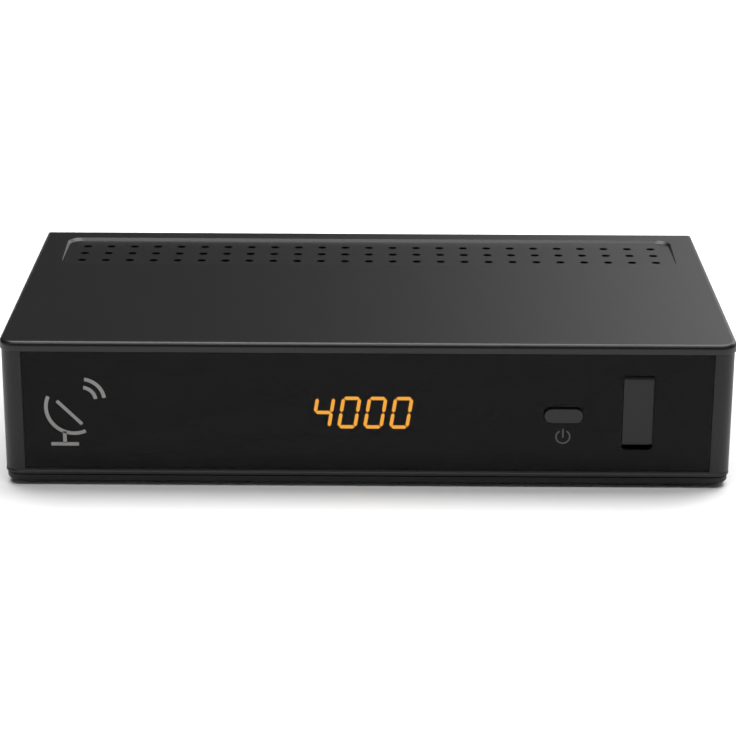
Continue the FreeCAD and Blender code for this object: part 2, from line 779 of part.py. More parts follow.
def power_button():
    """The stadium key, with the flange that keeps it in and the stem to the switch."""
    front = PANEL_FACE - BUTTON_PROUD
    flange_front = PLATE_BACK + FIT_GAP / 2
    flange_back = flange_front + BUTTON_FLANGE_THICKNESS
    cap = stadium(BUTTON_X, BUTTON_Z, BUTTON_WIDTH, BUTTON_HEIGHT, front, flange_back)
    cap = cap.makeChamfer(BUTTON_EDGE, upright_edges_at(cap, front))
    grow = 2 * BUTTON_FLANGE
    flange = centred_block(
        BUTTON_X, flange_front, flange_back, BUTTON_Z, BUTTON_WIDTH + grow, BUTTON_HEIGHT + grow
    )
    stem_end = FRONT_BOARD_Y - SWITCH_DEPTH - PLUNGER_PROUD
    stem = centred_block(
        BUTTON_X, flange_back, stem_end, BUTTON_Z, BUTTON_STEM, BUTTON_STEM
    )
    return cap.fuse([flange, stem])


def power_switch_body():
    """The tact switch's housing, with the bore that its plunger runs in."""
    y0 = FRONT_BOARD_Y - SWITCH_DEPTH
    housing = centred_block(BUTTON_X, y0, FRONT_BOARD_Y, BUTTON_Z, SWITCH_SIDE, SWITCH_SIDE)
    tip = y0 - PLUNGER_PROUD
    bore_end = tip + PLUNGER_LENGTH + BUTTON_TRAVEL + FIT_GAP
    bore = rod_y(BUTTON_X, y0, bore_end, BUTTON_Z, PLUNGER_RADIUS + PLUNGER_CLEARANCE)
    return housing.cut(bore)


def power_switch_plunger():
    """The round plunger that the button's stem rests on."""
    tip = FRONT_BOARD_Y - SWITCH_DEPTH - PLUNGER_PROUD
    return rod_y(BUTTON_X, tip, tip + PLUNGER_LENGTH, BUTTON_Z, PLUNGER_RADIUS)


def usb_flap():
    """The socket cover: a flat leaf with a quarter-round head and two pins."""
    half = FLAP_WIDTH / 2
    leaf = block(
        FLAP_X - half, FLAP_X + half, PANEL_FACE, FLAP_AXIS_Y, FLAP_BOTTOM, FLAP_AXIS_Z
    )
    barrel = rod_x(FLAP_X - half, FLAP_X + half, FLAP_AXIS_Y, FLAP_AXIS_Z, FLAP_THICKNESS)
    quarter = block(
        FLAP_X - half, FLAP_X + half, PANEL_FACE - 1, FLAP_AXIS_Y, FLAP_AXIS_Z, FLAP_TOP + 1
    )
    reach = half + FLAP_PIN_REACH
    pins = rod_x(FLAP_X - reach, FLAP_X + reach, FLAP_AXIS_Y, FLAP_AXIS_Z, FLAP_PIN_RADIUS)
    return leaf.fuse([barrel.common(quarter), pins]).removeSplitter()


def usb_shell():
    """The socket's drawn metal shell, open at the front."""
    mouth = WINDOW_BACK + USB_RECESS
    body = centred_block(FLAP_X, mouth, FRONT_BOARD_Y, USB_Z, USB_WIDTH, USB_HEIGHT)
    cavity = centred_block(
        FLAP_X, mouth, mouth + USB_CAVITY, USB_Z,
        USB_WIDTH - 2 * USB_METAL, USB_HEIGHT - 2 * USB_METAL,
    )
    return body.cut(cavity)


def usb_tongue():
    """The contact tongue inside the socket, to one side of its middle."""
    root = WINDOW_BACK + USB_RECESS + USB_CAVITY
    inner = USB_WIDTH / 2 - USB_METAL
    x1 = FLAP_X + inner - (USB_WIDTH - 2 * USB_METAL - USB_TONGUE) / 3
    half = USB_HEIGHT / 2 - USB_METAL - USB_TONGUE_MARGIN
    return block(
        x1 - USB_TONGUE, x1, root - USB_TONGUE_LENGTH, root, USB_Z - half, USB_Z + half
    )


def segment(width, height):
    """One light bar in the X-Z plane with pointed ends, standing upright and centred."""
    tip = width / 2
    points = [
        (0.0, -height / 2),
        (tip, -height / 2 + tip),
        (tip, height / 2 - tip),
        (0.0, height / 2),
        (-tip, height / 2 - tip),
        (-tip, -height / 2 + tip),
    ]
    return points


def digit_bars():
    """The seven bars of a digit, each as a list of (x, z) points round the digit's middle."""
    across = (DIGIT_WIDTH - SEGMENT_WIDTH) / 2
    up = (DIGIT_HEIGHT - SEGMENT_WIDTH) / 2
    long_bar = 2 * across - 2 * SEGMENT_GAP
    tall_bar = up - 2 * SEGMENT_GAP
    flat = [(z, x) for x, z in segment(SEGMENT_WIDTH, long_bar)]
    tall = segment(SEGMENT_WIDTH, tall_bar)
    places = [(0.0, up, flat), (0.0, 0.0, flat), (0.0, -up, flat)]
    for side in (-1, 1):
        for level in (-1, 1):
            places.append((side * across, level * up / 2, tall))
    slant = math.tan(math.radians(DIGIT_SLANT))
    bars = []
    for x, z, points in places:
        bars.append([(x + px + (z + pz) * slant, z + pz) for px, pz in points])
    return bars


def led_display():
    """The display block behind its light bars."""
    return centred_block(
        DISPLAY_X, DISPLAY_FACE + SEGMENT_THICKNESS, DISPLAY_FACE + DISPLAY_DEPTH, DISPLAY_Z,
        DISPLAY_WIDTH, DISPLAY_HEIGHT,
    )


def digit_segments():
    """The light bars, laid on the display block's face."""
    bars = []
    for index in range(DIGIT_COUNT):
        centre = DISPLAY_X + (index - (DIGIT_COUNT - 1) / 2) * DIGIT_PITCH
        for points in digit_bars():
            outline = [(centre + x, DISPLAY_Z + z) for x, z in points]
            bars.append(prism_y(outline, DISPLAY_FACE, DISPLAY_FACE + SEGMENT_THICKNESS))
    return Part.makeCompound(bars)


def display_holder():
    """The open frame that carries the display block at the window."""
    y0 = DISPLAY_FACE + DISPLAY_DEPTH
    frame = centred_block(
        DISPLAY_X, y0, FRONT_BOARD_Y, DISPLAY_Z, DISPLAY_WIDTH, DISPLAY_HEIGHT
    )
    hole = centred_block(
        DISPLAY_X, y0, FRONT_BOARD_Y, DISPLAY_Z,
        DISPLAY_WIDTH - 2 * HOLDER_WALL, DISPLAY_HEIGHT - 2 * HOLDER_WALL,
    )
    return frame.cut(hole)


def ir_receiver():
    """The remote-control eye: a domed block on three leads."""
    back = PLATE_BACK + FIT_GAP + EYE_BODY_DEPTH
    front = PLATE_BACK + FIT_GAP
    body = centred_block(EYE_X, front, back, DISPLAY_Z, EYE_BODY, EYE_BODY)
    tip = WINDOW_BACK + 2 * FIT_GAP
    base = vector(EYE_X, tip, DISPLAY_Z)
    dome = faceted_rod(base, vector(0, 1, 0), front - tip, EYE_RADIUS, PILLAR_SIDES)
    dome = dome.makeChamfer(EYE_RADIUS / 3, upright_edges_at(dome, tip))
    leads = []
    for step in (-1, 0, 1):
        x = EYE_X + step * LINK_PITCH
        leads.append(
            centred_block(x, back, FRONT_BOARD_Y, DISPLAY_Z, LINK_PIN, LINK_PIN)
        )
    return body.fuse([dome] + leads)


def front_board():
    """The upright board behind the bezel."""
    board = block(
        FRONT_BOARD_LEFT, FRONT_BOARD_RIGHT, FRONT_BOARD_Y, FRONT_BOARD_BACK,
        FRONT_BOARD_BOTTOM, FRONT_BOARD_TOP,
    )
    holes = []
    for x, z in front_board_screw_places():
        hole = SCREW_RADIUS + BOARD_HOLE_CLEARANCE
        holes.append(small_rod_y(x, FRONT_BOARD_Y - 1, FRONT_BOARD_BACK + 1, z, hole))
    return board.cut(holes)


def front_board_screws():
    """Four screws that hold the front board to the bezel's posts."""
    screws = []
    for x, z in front_board_screw_places():
        head_end = FRONT_BOARD_BACK + SCREW_HEAD_HEIGHT
        head = small_rod_y(x, FRONT_BOARD_BACK, head_end, z, SCREW_HEAD_RADIUS)
        tip = FRONT_BOARD_BACK - SCREW_LENGTH
        shank = small_rod_y(x, tip, FRONT_BOARD_BACK, z, SCREW_RADIUS)
        screws.append(head.fuse(shank))
    return Part.makeCompound(screws)


def link_header():
    """The header block on the back of the front board."""
    length = LINK_PINS * LINK_PITCH
    z0 = BOARD_TOP + LINK_RISE
    return block(
        LINK_X - length / 2, LINK_X + length / 2, FRONT_BOARD_BACK,
        FRONT_BOARD_BACK + LINK_BLOCK, z0, z0 + LINK_BLOCK,
    )


def link_pins():
    """The bent pins from the header down to the main board."""
    pins = []
    y0 = FRONT_BOARD_BACK + LINK_BLOCK
    y1 = y0 + LINK_PIN_REACH
    z = BOARD_TOP + LINK_RISE + LINK_BLOCK / 2
    half = LINK_PIN / 2
    for index in range(LINK_PINS):
        x = LINK_X + (index - (LINK_PINS - 1) / 2) * LINK_PITCH
        bend = [
            (y0, z - half),
            (y1 - LINK_PIN, z - half),
            (y1 - LINK_PIN, BOARD_TOP),
            (y1, BOARD_TOP),
            (y1, z + half),
            (y0, z + half),
        ]
        pins.append(prism_x(bend, x - half, x + half))
    return Part.makeCompound(pins)


def main_board():
    """The board that carries the tuner, the sockets and the chips."""
    board = block(
        -MAIN_BOARD_HALF_WIDTH, MAIN_BOARD_HALF_WIDTH, BOARD_FRONT, BOARD_REAR,
        BOARD_BOTTOM, BOARD_TOP,
    )
    holes = []
    for x, y in main_board_screw_places():
        hole = SCREW_RADIUS + BOARD_HOLE_CLEARANCE
        holes.append(small_rod_z(x, y, BOARD_BOTTOM - 1, BOARD_TOP + 1, hole))
    return board.cut(holes)


def main_board_screws():
    """Four screws that hold the main board to the tray's pillars."""
    screws = []
    for x, y in main_board_screw_places():
        head = small_rod_z(x, y, BOARD_TOP, BOARD_TOP + SCREW_HEAD_HEIGHT, SCREW_HEAD_RADIUS)
        shank = small_rod_z(x, y, BOARD_TOP - SCREW_LENGTH, BOARD_TOP, SCREW_RADIUS)
        screws.append(head.fuse(shank))
    return Part.makeCompound(screws)


def bottom_tray():
    """The tray: floor with its lip, side ribs, pillars, rear keeper, slots and foot pockets."""
    outer = HALF_WIDTH - TRAY_INSET
    floor = rounded_prism(
        -outer, outer, LID_FRONT + TRAY_INSET, BODY_REAR - TRAY_INSET,
        FOOT_HEIGHT, LIP_TOP, CORNER_RADIUS - TRAY_INSET, REAR_CORNER,
    )
    floor = floor.makeChamfer(TRAY_EDGE, flat_edges_at(floor, FOOT_HEIGHT))
    added = []
    rib_outer = HALF_WIDTH - WALL_INNER - FIT_GAP
    for side in (-1, 1):
        x0 = min(side * rib_outer, side * (rib_outer - TRAY_RIB))
        added.append(
            block(
                x0, x0 + TRAY_RIB, BEZEL_REAR + FIT_GAP, BODY_REAR - CORNER_RADIUS - FIT_GAP,
                LIP_TOP, LIP_TOP + TRAY_RIB_HEIGHT,
            )
        )
    keeper_rear = PLATE_INNER - FIT_GAP / 2
    added.append(
        block(
            -MAIN_BOARD_HALF_WIDTH, MAIN_BOARD_HALF_WIDTH, keeper_rear - TRAY_RIB / 2, keeper_rear,
            LIP_TOP, LIP_TOP + BOARD_STANDOFF - FIT_GAP,
        )
    )
    pilot = SCREW_RADIUS + SCREW_CLEARANCE
    holes = []
    for x, y in main_board_screw_places():
        added.append(small_rod_z(x, y, LIP_TOP, BOARD_BOTTOM, BOARD_POST_RADIUS))
        holes.append(small_rod_z(x, y, BOARD_TOP - SCREW_LENGTH - FIT_GAP, BOARD_BOTTOM, pilot))
    for x, y in case_screw_places():
        added.append(pillar(x, y, LIP_TOP, CASE_JOINT, CASE_PILLAR_RADIUS))
        shoulder = FOOT_HEIGHT + CASE_SHOULDER
        through = CASE_SCREW_RADIUS + BOARD_HOLE_CLEARANCE
        holes.append(small_rod_z(x, y, shoulder, CASE_JOINT, through))
        holes.append(pillar(x, y, FOOT_HEIGHT, shoulder, CASE_HEAD_RADIUS + FIT_GAP))
    for index in range(FLOOR_SLOTS):
        x = CHIP_X + (index - (FLOOR_SLOTS - 1) / 2) * FLOOR_SLOT_PITCH
        holes.append(
            block(
                x - FLOOR_SLOT_WIDTH / 2, x + FLOOR_SLOT_WIDTH / 2,
                CHIP_Y - FLOOR_SLOT_LENGTH / 2, CHIP_Y + FLOOR_SLOT_LENGTH / 2,
                FOOT_HEIGHT - 1, LIP_TOP + 1,
            )
        )
    for x, y in foot_places():
        pocket_top = FOOT_HEIGHT + FOOT_POCKET
        holes.append(pillar(x, y, FOOT_HEIGHT, pocket_top, FOOT_RADIUS + FIT_GAP))
    return floor.fuse(added).cut(holes)


def rubber_feet():
    """Four round pads stuck in the tray's pockets."""
    feet = []
    for x, y in foot_places():
        feet.append(pillar(x, y, 0, FOOT_HEIGHT + FOOT_POCKET, FOOT_RADIUS))
    return Part.makeCompound(feet)


def case_screws():
    """Four screws from below, through the tray's pillars into the lid's posts."""
    screws = []
    for x, y in case_screw_places():
        shoulder = FOOT_HEIGHT + CASE_SHOULDER
        head = small_rod_z(x, y, shoulder - CASE_HEAD_HEIGHT, shoulder, CASE_HEAD_RADIUS)
        shank = small_rod_z(x, y, shoulder, shoulder + CASE_SCREW_LENGTH, CASE_SCREW_RADIUS)
        screws.append(head.fuse(shank))
    return Part.makeCompound(screws)


def scart_outline(grow):
    """The multi-pin socket's face, with its one slanted end, as (x, z) points."""
    half = SCART_WIDTH / 2 + grow
    low = BOARD_TOP - grow
    high = BOARD_TOP + SCART_HEIGHT + grow
    slant = SCART_CORNER
    return [
        (SCART_X - half, low),
        (SCART_X + half - slant, low),
        (SCART_X + half, low + slant),
        (SCART_X + half, high),
        (SCART_X - half, high),
    ]


def rear_panel():
    """The thin plate across the back, with a cut-out for each socket."""
    half = HALF_WIDTH - CORNER_RADIUS
    plate = block(-half, half, PLATE_INNER, PLATE_OUTER, LIP_TOP, TOP - LID_THICKNESS)
    y0 = PLATE_INNER - 1
    y1 = PLATE_OUTER + 1
    gap = CUT_CLEARANCE
    tools = [
        ring_hole(x, y0, y1, BOARD_TOP + F_RISE, F_RADIUS + gap) for x in f_socket_places()
    ]
    tools.append(ring_hole(AUDIO_X, y0, y1, BOARD_TOP + AUDIO_RISE, AUDIO_COLLAR + gap))
    tools.append(prism_y(hdmi_outline(gap), y0, y1))
    tools.append(
        block(
            NETWORK_X - NETWORK_WIDTH / 2 - gap, NETWORK_X + NETWORK_WIDTH / 2 + gap, y0, y1,
            BOARD_TOP - gap, BOARD_TOP + NETWORK_HEIGHT + gap,
        )
    )
    tools.append(prism_y(scart_outline(gap), y0, y1))
    tools.append(
        ring_hole(SUPPLY_X, y0, y1, BOARD_TOP + SUPPLY_HEIGHT / 2, SUPPLY_NOSE_RADIUS + gap)
    )
    return plate.cut(tools)


def tuner_can():
    """The tinned box round the tuner, its lid dished for stiffness."""
    x0 = TUNER_X - TUNER_WIDTH / 2
    y0 = BOARD_REAR - TUNER_LENGTH
    can = block(
        x0, x0 + TUNER_WIDTH, y0, BOARD_REAR, BOARD_TOP, BOARD_TOP + TUNER_HEIGHT
    )
    margin = TUNER_WIDTH / 8
    dish = block(
        x0 + margin, x0 + TUNER_WIDTH - margin, y0 + margin, BOARD_REAR - margin,
        BOARD_TOP + TUNER_HEIGHT - SCREW_HEAD_HEIGHT / 2, BOARD_TOP + TUNER_HEIGHT + 1,
    )
    return can.cut(dish)


def f_socket_places():
    """The two F sockets' places across the back: aerial in, then loop out."""
    return [TUNER_X + F_SPACING / 2, TUNER_X - F_SPACING / 2]


def f_socket(x):
    """One F socket: a clamped root, a groove, and the barrel with its sunk insulator."""
    z = BOARD_TOP + F_RISE
    groove = PLATE_OUTER + F_WASHER_THICKNESS + F_NUT_THICKNESS + FIT_GAP
    root = ring_bar(x, BOARD_REAR, groove, z, F_RADIUS)
    neck = ring_bar(x, groove, groove + F_GROOVE, z, F_RADIUS - F_GROOVE_DEPTH)
    barrel = rod_y(x, groove + F_GROOVE, SOCKET_TIP, z, F_RADIUS)
    barrel = barrel.makeChamfer(F_CHAMFER, upright_edges_at(barrel, SOCKET_TIP))
    mouth = ring_bar(x, SOCKET_TIP - F_BORE_DEPTH, SOCKET_TIP + 1, z, F_BORE)
    contact = small_rod_y(x, SOCKET_TIP - F_CONTACT_DEPTH, SOCKET_TIP, z, F_CONTACT_RADIUS)
    return barrel.fuse([root, neck]).cut([mouth, contact])


def f_socket_washers():
    """The washers between the rear plate and the nuts."""
    washers = []
    y1 = PLATE_OUTER + F_WASHER_THICKNESS
    z = BOARD_TOP + F_RISE
    for x in f_socket_places():
        disc = ring_bar(x, PLATE_OUTER, y1, z, F_WASHER_RADIUS)
        washers.append(disc.cut(ring_bar(x, PLATE_OUTER, y1, z, F_RADIUS + SCREW_CLEARANCE)))
    return Part.makeCompound(washers)


def f_socket_nuts():
    """The hexagon nuts that clamp the F sockets to the rear plate."""
    nuts = []
    y0 = PLATE_OUTER + F_WASHER_THICKNESS
    y1 = y0 + F_NUT_THICKNESS
    z = BOARD_TOP + F_RISE
    corner = F_NUT_FLATS / math.sqrt(3)
    for x in f_socket_places():
        points = []
        for index in range(6):
            turn = math.radians(60 * index)
            points.append((x + corner * math.cos(turn), z + corner * math.sin(turn)))
        hole = ring_bar(x, y0, y1, z, F_RADIUS + SCREW_CLEARANCE)
        nuts.append(prism_y(points, y0, y1).cut(hole))
    return Part.makeCompound(nuts)


def coax_audio_body():
    """The phono socket's moulding: block, collar through the plate and bored core."""
    z = BOARD_TOP + AUDIO_RISE
    y0 = PLATE_INNER - FIT_GAP
    block_part = block(
        AUDIO_X - AUDIO_BODY / 2, AUDIO_X + AUDIO_BODY / 2, y0 - AUDIO_BODY_DEPTH, y0,
        BOARD_TOP, BOARD_TOP + AUDIO_RISE + AUDIO_BODY / 2,
    )
    seat = PLATE_OUTER + AUDIO_COLLAR_PROUD
    collar = ring_bar(AUDIO_X, y0, seat, z, AUDIO_COLLAR)
    tip = PLATE_OUTER + AUDIO_REACH
    core = ring_bar(AUDIO_X, seat, tip - AUDIO_RING_WALL, z, AUDIO_CORE)
    bore = ring_bar(AUDIO_X, tip - AUDIO_RING_DEPTH, tip, z, AUDIO_BORE)
    return block_part.fuse([collar, core]).cut(bore)


def coax_audio_ring():
    """The phono socket's ring contact, seated on the moulding's collar."""
    z = BOARD_TOP + AUDIO_RISE
    seat = PLATE_OUTER + AUDIO_COLLAR_PROUD
    tip = PLATE_OUTER + AUDIO_REACH
    ring = rod_y(AUDIO_X, seat, tip, z, AUDIO_RADIUS)
    return ring.cut(ring_bar(AUDIO_X, seat, tip, z, AUDIO_RADIUS - AUDIO_RING_WALL))


def hdmi_outline(grow):
    """The video socket's face, narrowed towards its foot, as (x, z) points."""
    half = HDMI_WIDTH / 2 + grow
    low = BOARD_TOP - grow
    high = BOARD_TOP + HDMI_HEIGHT + grow
    middle = low + HDMI_HEIGHT / 2
    return [
        (HDMI_X - half + HDMI_TAPER, low),
        (HDMI_X + half - HDMI_TAPER, low),
        (HDMI_X + half, middle),
        (HDMI_X + half, high),
        (HDMI_X - half, high),
        (HDMI_X - half, middle),
    ]


def hdmi_shell():
    """The video socket's metal shell."""
    mouth = SOCKET_MOUTH
    body = prism_y(hdmi_outline(0.0), mouth - HDMI_DEPTH, mouth)
    cavity = prism_y(hdmi_outline(-HDMI_METAL), mouth - HDMI_CAVITY, mouth)
    return body.cut(cavity)


def hdmi_tongue():
    """The video socket's contact tongue."""
    root = SOCKET_MOUTH - HDMI_CAVITY
    z = BOARD_TOP + HDMI_TONGUE_RISE
    return centred_block(
        HDMI_X, root, root + HDMI_TONGUE_LENGTH, z, HDMI_TONGUE_WIDTH, HDMI_TONGUE
    )


def ethernet_port():
    """The network socket: a block with its stepped mouth."""
    mouth = SOCKET_MOUTH
    body = block(
        NETWORK_X - NETWORK_WIDTH / 2, NETWORK_X + NETWORK_WIDTH / 2,
        mouth - NETWORK_DEPTH, mouth, BOARD_TOP, BOARD_TOP + NETWORK_HEIGHT,
    )
    half = NETWORK_PORT_WIDTH / 2
    port = block(
        NETWORK_X - half, NETWORK_X + half, mouth - NETWORK_PORT_DEPTH, mouth,
        BOARD_TOP + NETWORK_PORT_BOTTOM, BOARD_TOP + NETWORK_PORT_TOP,
    )
    latch_half = NETWORK_LATCH_WIDTH / 2
    latch = block(
        NETWORK_X - latch_half, NETWORK_X + latch_half, mouth - NETWORK_PORT_DEPTH, mouth,
        BOARD_TOP + NETWORK_PORT_BOTTOM - NETWORK_LATCH_DROP, BOARD_TOP + NETWORK_PORT_BOTTOM,
    )
    return body.cut([port, latch])


def ethernet_springs():
    """The eight sprung wires under the roof of the network socket."""
    mouth = SOCKET_MOUTH
    high = BOARD_TOP + NETWORK_PORT_TOP
    back = mouth - NETWORK_PORT_DEPTH
    drop = NETWORK_LATCH_DROP
    reach = NETWORK_PORT_DEPTH / 2
    wires = []
    for index in range(NETWORK_WIRES):
        x = NETWORK_X + (index - (NETWORK_WIRES - 1) / 2) * NETWORK_WIRE_PITCH
        slope = [
            (back, high - drop - NETWORK_WIRE),
            (back + reach, high - NETWORK_WIRE),
            (back + reach, high),
            (back, high - drop),
        ]
        half = NETWORK_WIRE / 2
        wires.append(prism_x(slope, x - half, x + half))
    return Part.makeCompound(wires)


def scart_socket():
    """The multi-pin socket: a shell, a channel round its core and the pin slots."""
    mouth = SOCKET_MOUTH
    body = prism_y(scart_outline(0.0), mouth - SCART_DEPTH, mouth)
    outer = prism_y(scart_outline(-SCART_SHELL), mouth - SCART_CHANNEL_DEPTH, mouth)
    core = prism_y(
        scart_outline(-SCART_SHELL - SCART_CHANNEL), mouth - SCART_CHANNEL_DEPTH, mouth
    )
    socket = body.cut(outer.cut(core))
    middle = BOARD_TOP + SCART_HEIGHT / 2
    slots = []
    for row in (-1, 1):
        for column in range(SCART_COLUMNS):
            stagger = row * SCART_PITCH / 4 - SCART_CORNER / 4
            x = SCART_X + (column - (SCART_COLUMNS - 1) / 2) * SCART_PITCH + stagger
            slots.append(
                centred_block(
                    x, mouth - SCART_SLOT_DEPTH, mouth, middle + row * SCART_ROW_OFFSET,
                    SCART_SLOT_WIDTH, SCART_SLOT_HEIGHT,
                )
            )
    return socket.cut(slots)


def dc_jack():
    """The supply socket: a block with a round nose and the bore for the plug."""
    z = BOARD_TOP + SUPPLY_HEIGHT / 2
    shoulder = PLATE_INNER - FIT_GAP
    body = block(
        SUPPLY_X - SUPPLY_WIDTH / 2, SUPPLY_X + SUPPLY_WIDTH / 2,
        shoulder - SUPPLY_DEPTH, shoulder, BOARD_TOP, BOARD_TOP + SUPPLY_HEIGHT,
    )
    nose = ring_bar(SUPPLY_X, shoulder, shoulder + SUPPLY_NOSE, z, SUPPLY_NOSE_RADIUS)
    tip = shoulder + SUPPLY_NOSE
    bore = ring_hole(SUPPLY_X, tip - SUPPLY_BORE_DEPTH, tip, z, SUPPLY_BORE)
    return body.fuse(nose).cut(bore)


def dc_pin():
    """The supply socket's centre pin."""
    z = BOARD_TOP + SUPPLY_HEIGHT / 2
    root = PLATE_INNER - FIT_GAP + SUPPLY_NOSE - SUPPLY_BORE_DEPTH
    return rod_y(SUPPLY_X, root, root + SUPPLY_PIN_LENGTH, z, SUPPLY_PIN_RADIUS)


def card_reader():
    """The viewing-card reader: a low frame with the slot that the card slides in."""
    x0 = READER_LEFT
    y0 = READER_Y - READER_WIDTH / 2
    body = block(
        x0, READER_RIGHT, y0, y0 + READER_WIDTH, BOARD_TOP, BOARD_TOP + READER_HEIGHT
    )
    half = CARD_SLOT_WIDTH / 2
    slot = block(
        x0, READER_RIGHT - WALL, READER_Y - half, READER_Y + half,
        BOARD_TOP + CARD_SLOT_RISE, BOARD_TOP + CARD_SLOT_RISE + CARD_SLOT_HEIGHT,
    )
    return body.cut(slot)


def system_chip():
    """The receiver's main chip."""
    half = CHIP_SIDE / 2
    return block(
        CHIP_X - half, CHIP_X + half, CHIP_Y - half, CHIP_Y + half,
        BOARD_TOP, BOARD_TOP + CHIP_HEIGHT,
    )


def thermal_pad():
    """The soft pad between the chip and its heat sink."""
    half = PAD_SIDE / 2
    z0 = BOARD_TOP + CHIP_HEIGHT
    return block(
        CHIP_X - half, CHIP_X + half, CHIP_Y - half, CHIP_Y + half, z0, z0 + PAD_THICKNESS
    )


def heat_sink():
    """The finned heat sink, with its fins running front to back."""
    half = SINK_SIDE / 2
    z0 = BOARD_TOP + CHIP_HEIGHT + PAD_THICKNESS
    sink = block(
        CHIP_X - half, CHIP_X + half, CHIP_Y - half, CHIP_Y + half, z0, z0 + SINK_HEIGHT
    )
    pitch = (SINK_SIDE - SINK_FIN) / (SINK_FINS - 1)
    gaps = []
    for index in range(SINK_FINS - 1):
        x = CHIP_X - half + SINK_FIN + index * pitch
        gaps.append(
            block(
                x, x + pitch - SINK_FIN, CHIP_Y - half, CHIP_Y + half,
                z0 + SINK_BASE, z0 + SINK_HEIGHT,
            )
        )
    return sink.cut(gaps)


def memory_chips():
    """Two memory chips beside the main chip."""
    chips = []
    x0 = CHIP_X + SINK_SIDE / 2 + MEMORY_WIDTH / 2
    for y in (CHIP_Y - MEMORY_LENGTH, CHIP_Y + MEMORY_LENGTH / 2):
        chips.append(
            block(
                x0, x0 + MEMORY_WIDTH, y, y + MEMORY_LENGTH, BOARD_TOP, BOARD_TOP + MEMORY_HEIGHT
            )
        )
    return Part.makeCompound(chips)


def flash_chip():
    """The small chip that holds the receiver's program."""
    x0 = CHIP_X - FLASH_WIDTH / 2
    y0 = CHIP_Y - SINK_SIDE / 2 - 2 * FLASH_LENGTH
    return block(
        x0, x0 + FLASH_WIDTH, y0, y0 + FLASH_LENGTH, BOARD_TOP, BOARD_TOP + FLASH_HEIGHT
    )


def capacitor_places():
    """Each standing can as (x, y, (radius, height))."""
    before_scart = SOCKET_MOUTH - SCART_DEPTH - PART_GAP - BIG_CAN[0]
    beside_reader = READER_RIGHT + BIG_CAN[0]
    beside_tuner = TUNER_X - TUNER_WIDTH / 2 - PART_GAP - MIDDLE_CAN[0]
    before_tuner = BOARD_REAR - TUNER_LENGTH - PART_GAP - SMALL_CAN[0]
    before_chip = CHIP_Y - SINK_SIDE / 2 - PART_GAP - SMALL_CAN[0]
    beside_chip = CHIP_X - SINK_SIDE / 2
    return [
        (beside_reader, before_scart, BIG_CAN),
        (beside_reader + 3 * MIDDLE_CAN[0], before_scart, MIDDLE_CAN),
        (beside_tuner, SOCKET_MOUTH - SCART_DEPTH, MIDDLE_CAN),
        (TUNER_X, before_tuner, SMALL_CAN),
        (beside_chip, before_chip, SMALL_CAN),
        (beside_chip - 3 * SMALL_CAN[0], before_chip, SMALL_CAN),
    ]


def capacitors():
    """The standing capacitors."""
    cans = []
    for x, y, (radius, height) in capacitor_places():
        base = vector(x, y, BOARD_TOP)
        cans.append(faceted_rod(base, vector(0, 0, 1), height, radius, CAN_SIDES))
    return Part.makeCompound(cans)


def power_coils():
    """Two screened drum coils of the supply stage."""
    coils = []
    x0 = CHIP_X - SINK_SIDE / 2 - COIL_SIDE - 2 * PART_GAP
    for y in (CHIP_Y - PART_GAP / 2 - COIL_SIDE, CHIP_Y + PART_GAP / 2):
        coils.append(
            pillar(
                x0 + COIL_SIDE / 2, y + COIL_SIDE / 2, BOARD_TOP, BOARD_TOP + COIL_HEIGHT,
                COIL_SIDE / 2,
            )
        )
    return Part.makeCompound(coils)


def crystal():
    """The clock crystal in its low can."""
    centre = vector(
        CHIP_X + SINK_SIDE / 2 + CRYSTAL_LENGTH, CHIP_Y - SINK_SIDE / 2 - CRYSTAL_WIDTH, BOARD_TOP
    )
    face = stadium_face(
        vector(1, 0, 0), vector(0, 1, 0), centre, CRYSTAL_LENGTH, CRYSTAL_WIDTH
    )
    return face.extrude(vector(0, 0, CRYSTAL_HEIGHT))


def build():
    """Makes every piece and writes it."""
    os.makedirs("parts", exist_ok=True)
    pieces = {
        "top_cover": top_cover(),
        "front_bezel": front_bezel(),
        "front_window": front_window(),
        "power_button": power_button(),
        "usb_flap": usb_flap(),
        "bottom_tray": bottom_tray(),
        "rubber_feet": rubber_feet(),
        "rear_panel": rear_panel(),
        "front_board": front_board(),
        "front_board_screws": front_board_screws(),
        "led_display": led_display(),
        "digit_segments": digit_segments(),
        "display_holder": display_holder(),
        "power_switch_body": power_switch_body(),
        "power_switch_plunger": power_switch_plunger(),
        "ir_receiver": ir_receiver(),
        "usb_shell": usb_shell(),
        "usb_tongue": usb_tongue(),
        "link_header": link_header(),
        "link_pins": link_pins(),
        "main_board": main_board(),
        "main_board_screws": main_board_screws(),
        "tuner_can": tuner_can(),
        "lnb_in_socket": f_socket(f_socket_places()[0]),
        "lnb_out_socket": f_socket(f_socket_places()[1]),
        "f_socket_washers": f_socket_washers(),
        "f_socket_nuts": f_socket_nuts(),
        "coax_audio_body": coax_audio_body(),
        "coax_audio_ring": coax_audio_ring(),
        "hdmi_shell": hdmi_shell(),
        "hdmi_tongue": hdmi_tongue(),
        "ethernet_port": ethernet_port(),
        "ethernet_springs": ethernet_springs(),
        "scart_socket": scart_socket(),
        "dc_jack": dc_jack(),
        "dc_pin": dc_pin(),
        "card_reader": card_reader(),
        "system_chip": system_chip(),
        "thermal_pad": thermal_pad(),
        "heat_sink": heat_sink(),
        "memory_chips": memory_chips(),
        "flash_chip": flash_chip(),
        "capacitors": capacitors(),
        "power_coils": power_coils(),
        "crystal": crystal(),
        "case_screws": case_screws(),
    }
    for name, shape in pieces.items():
        save(name, shape)


build()
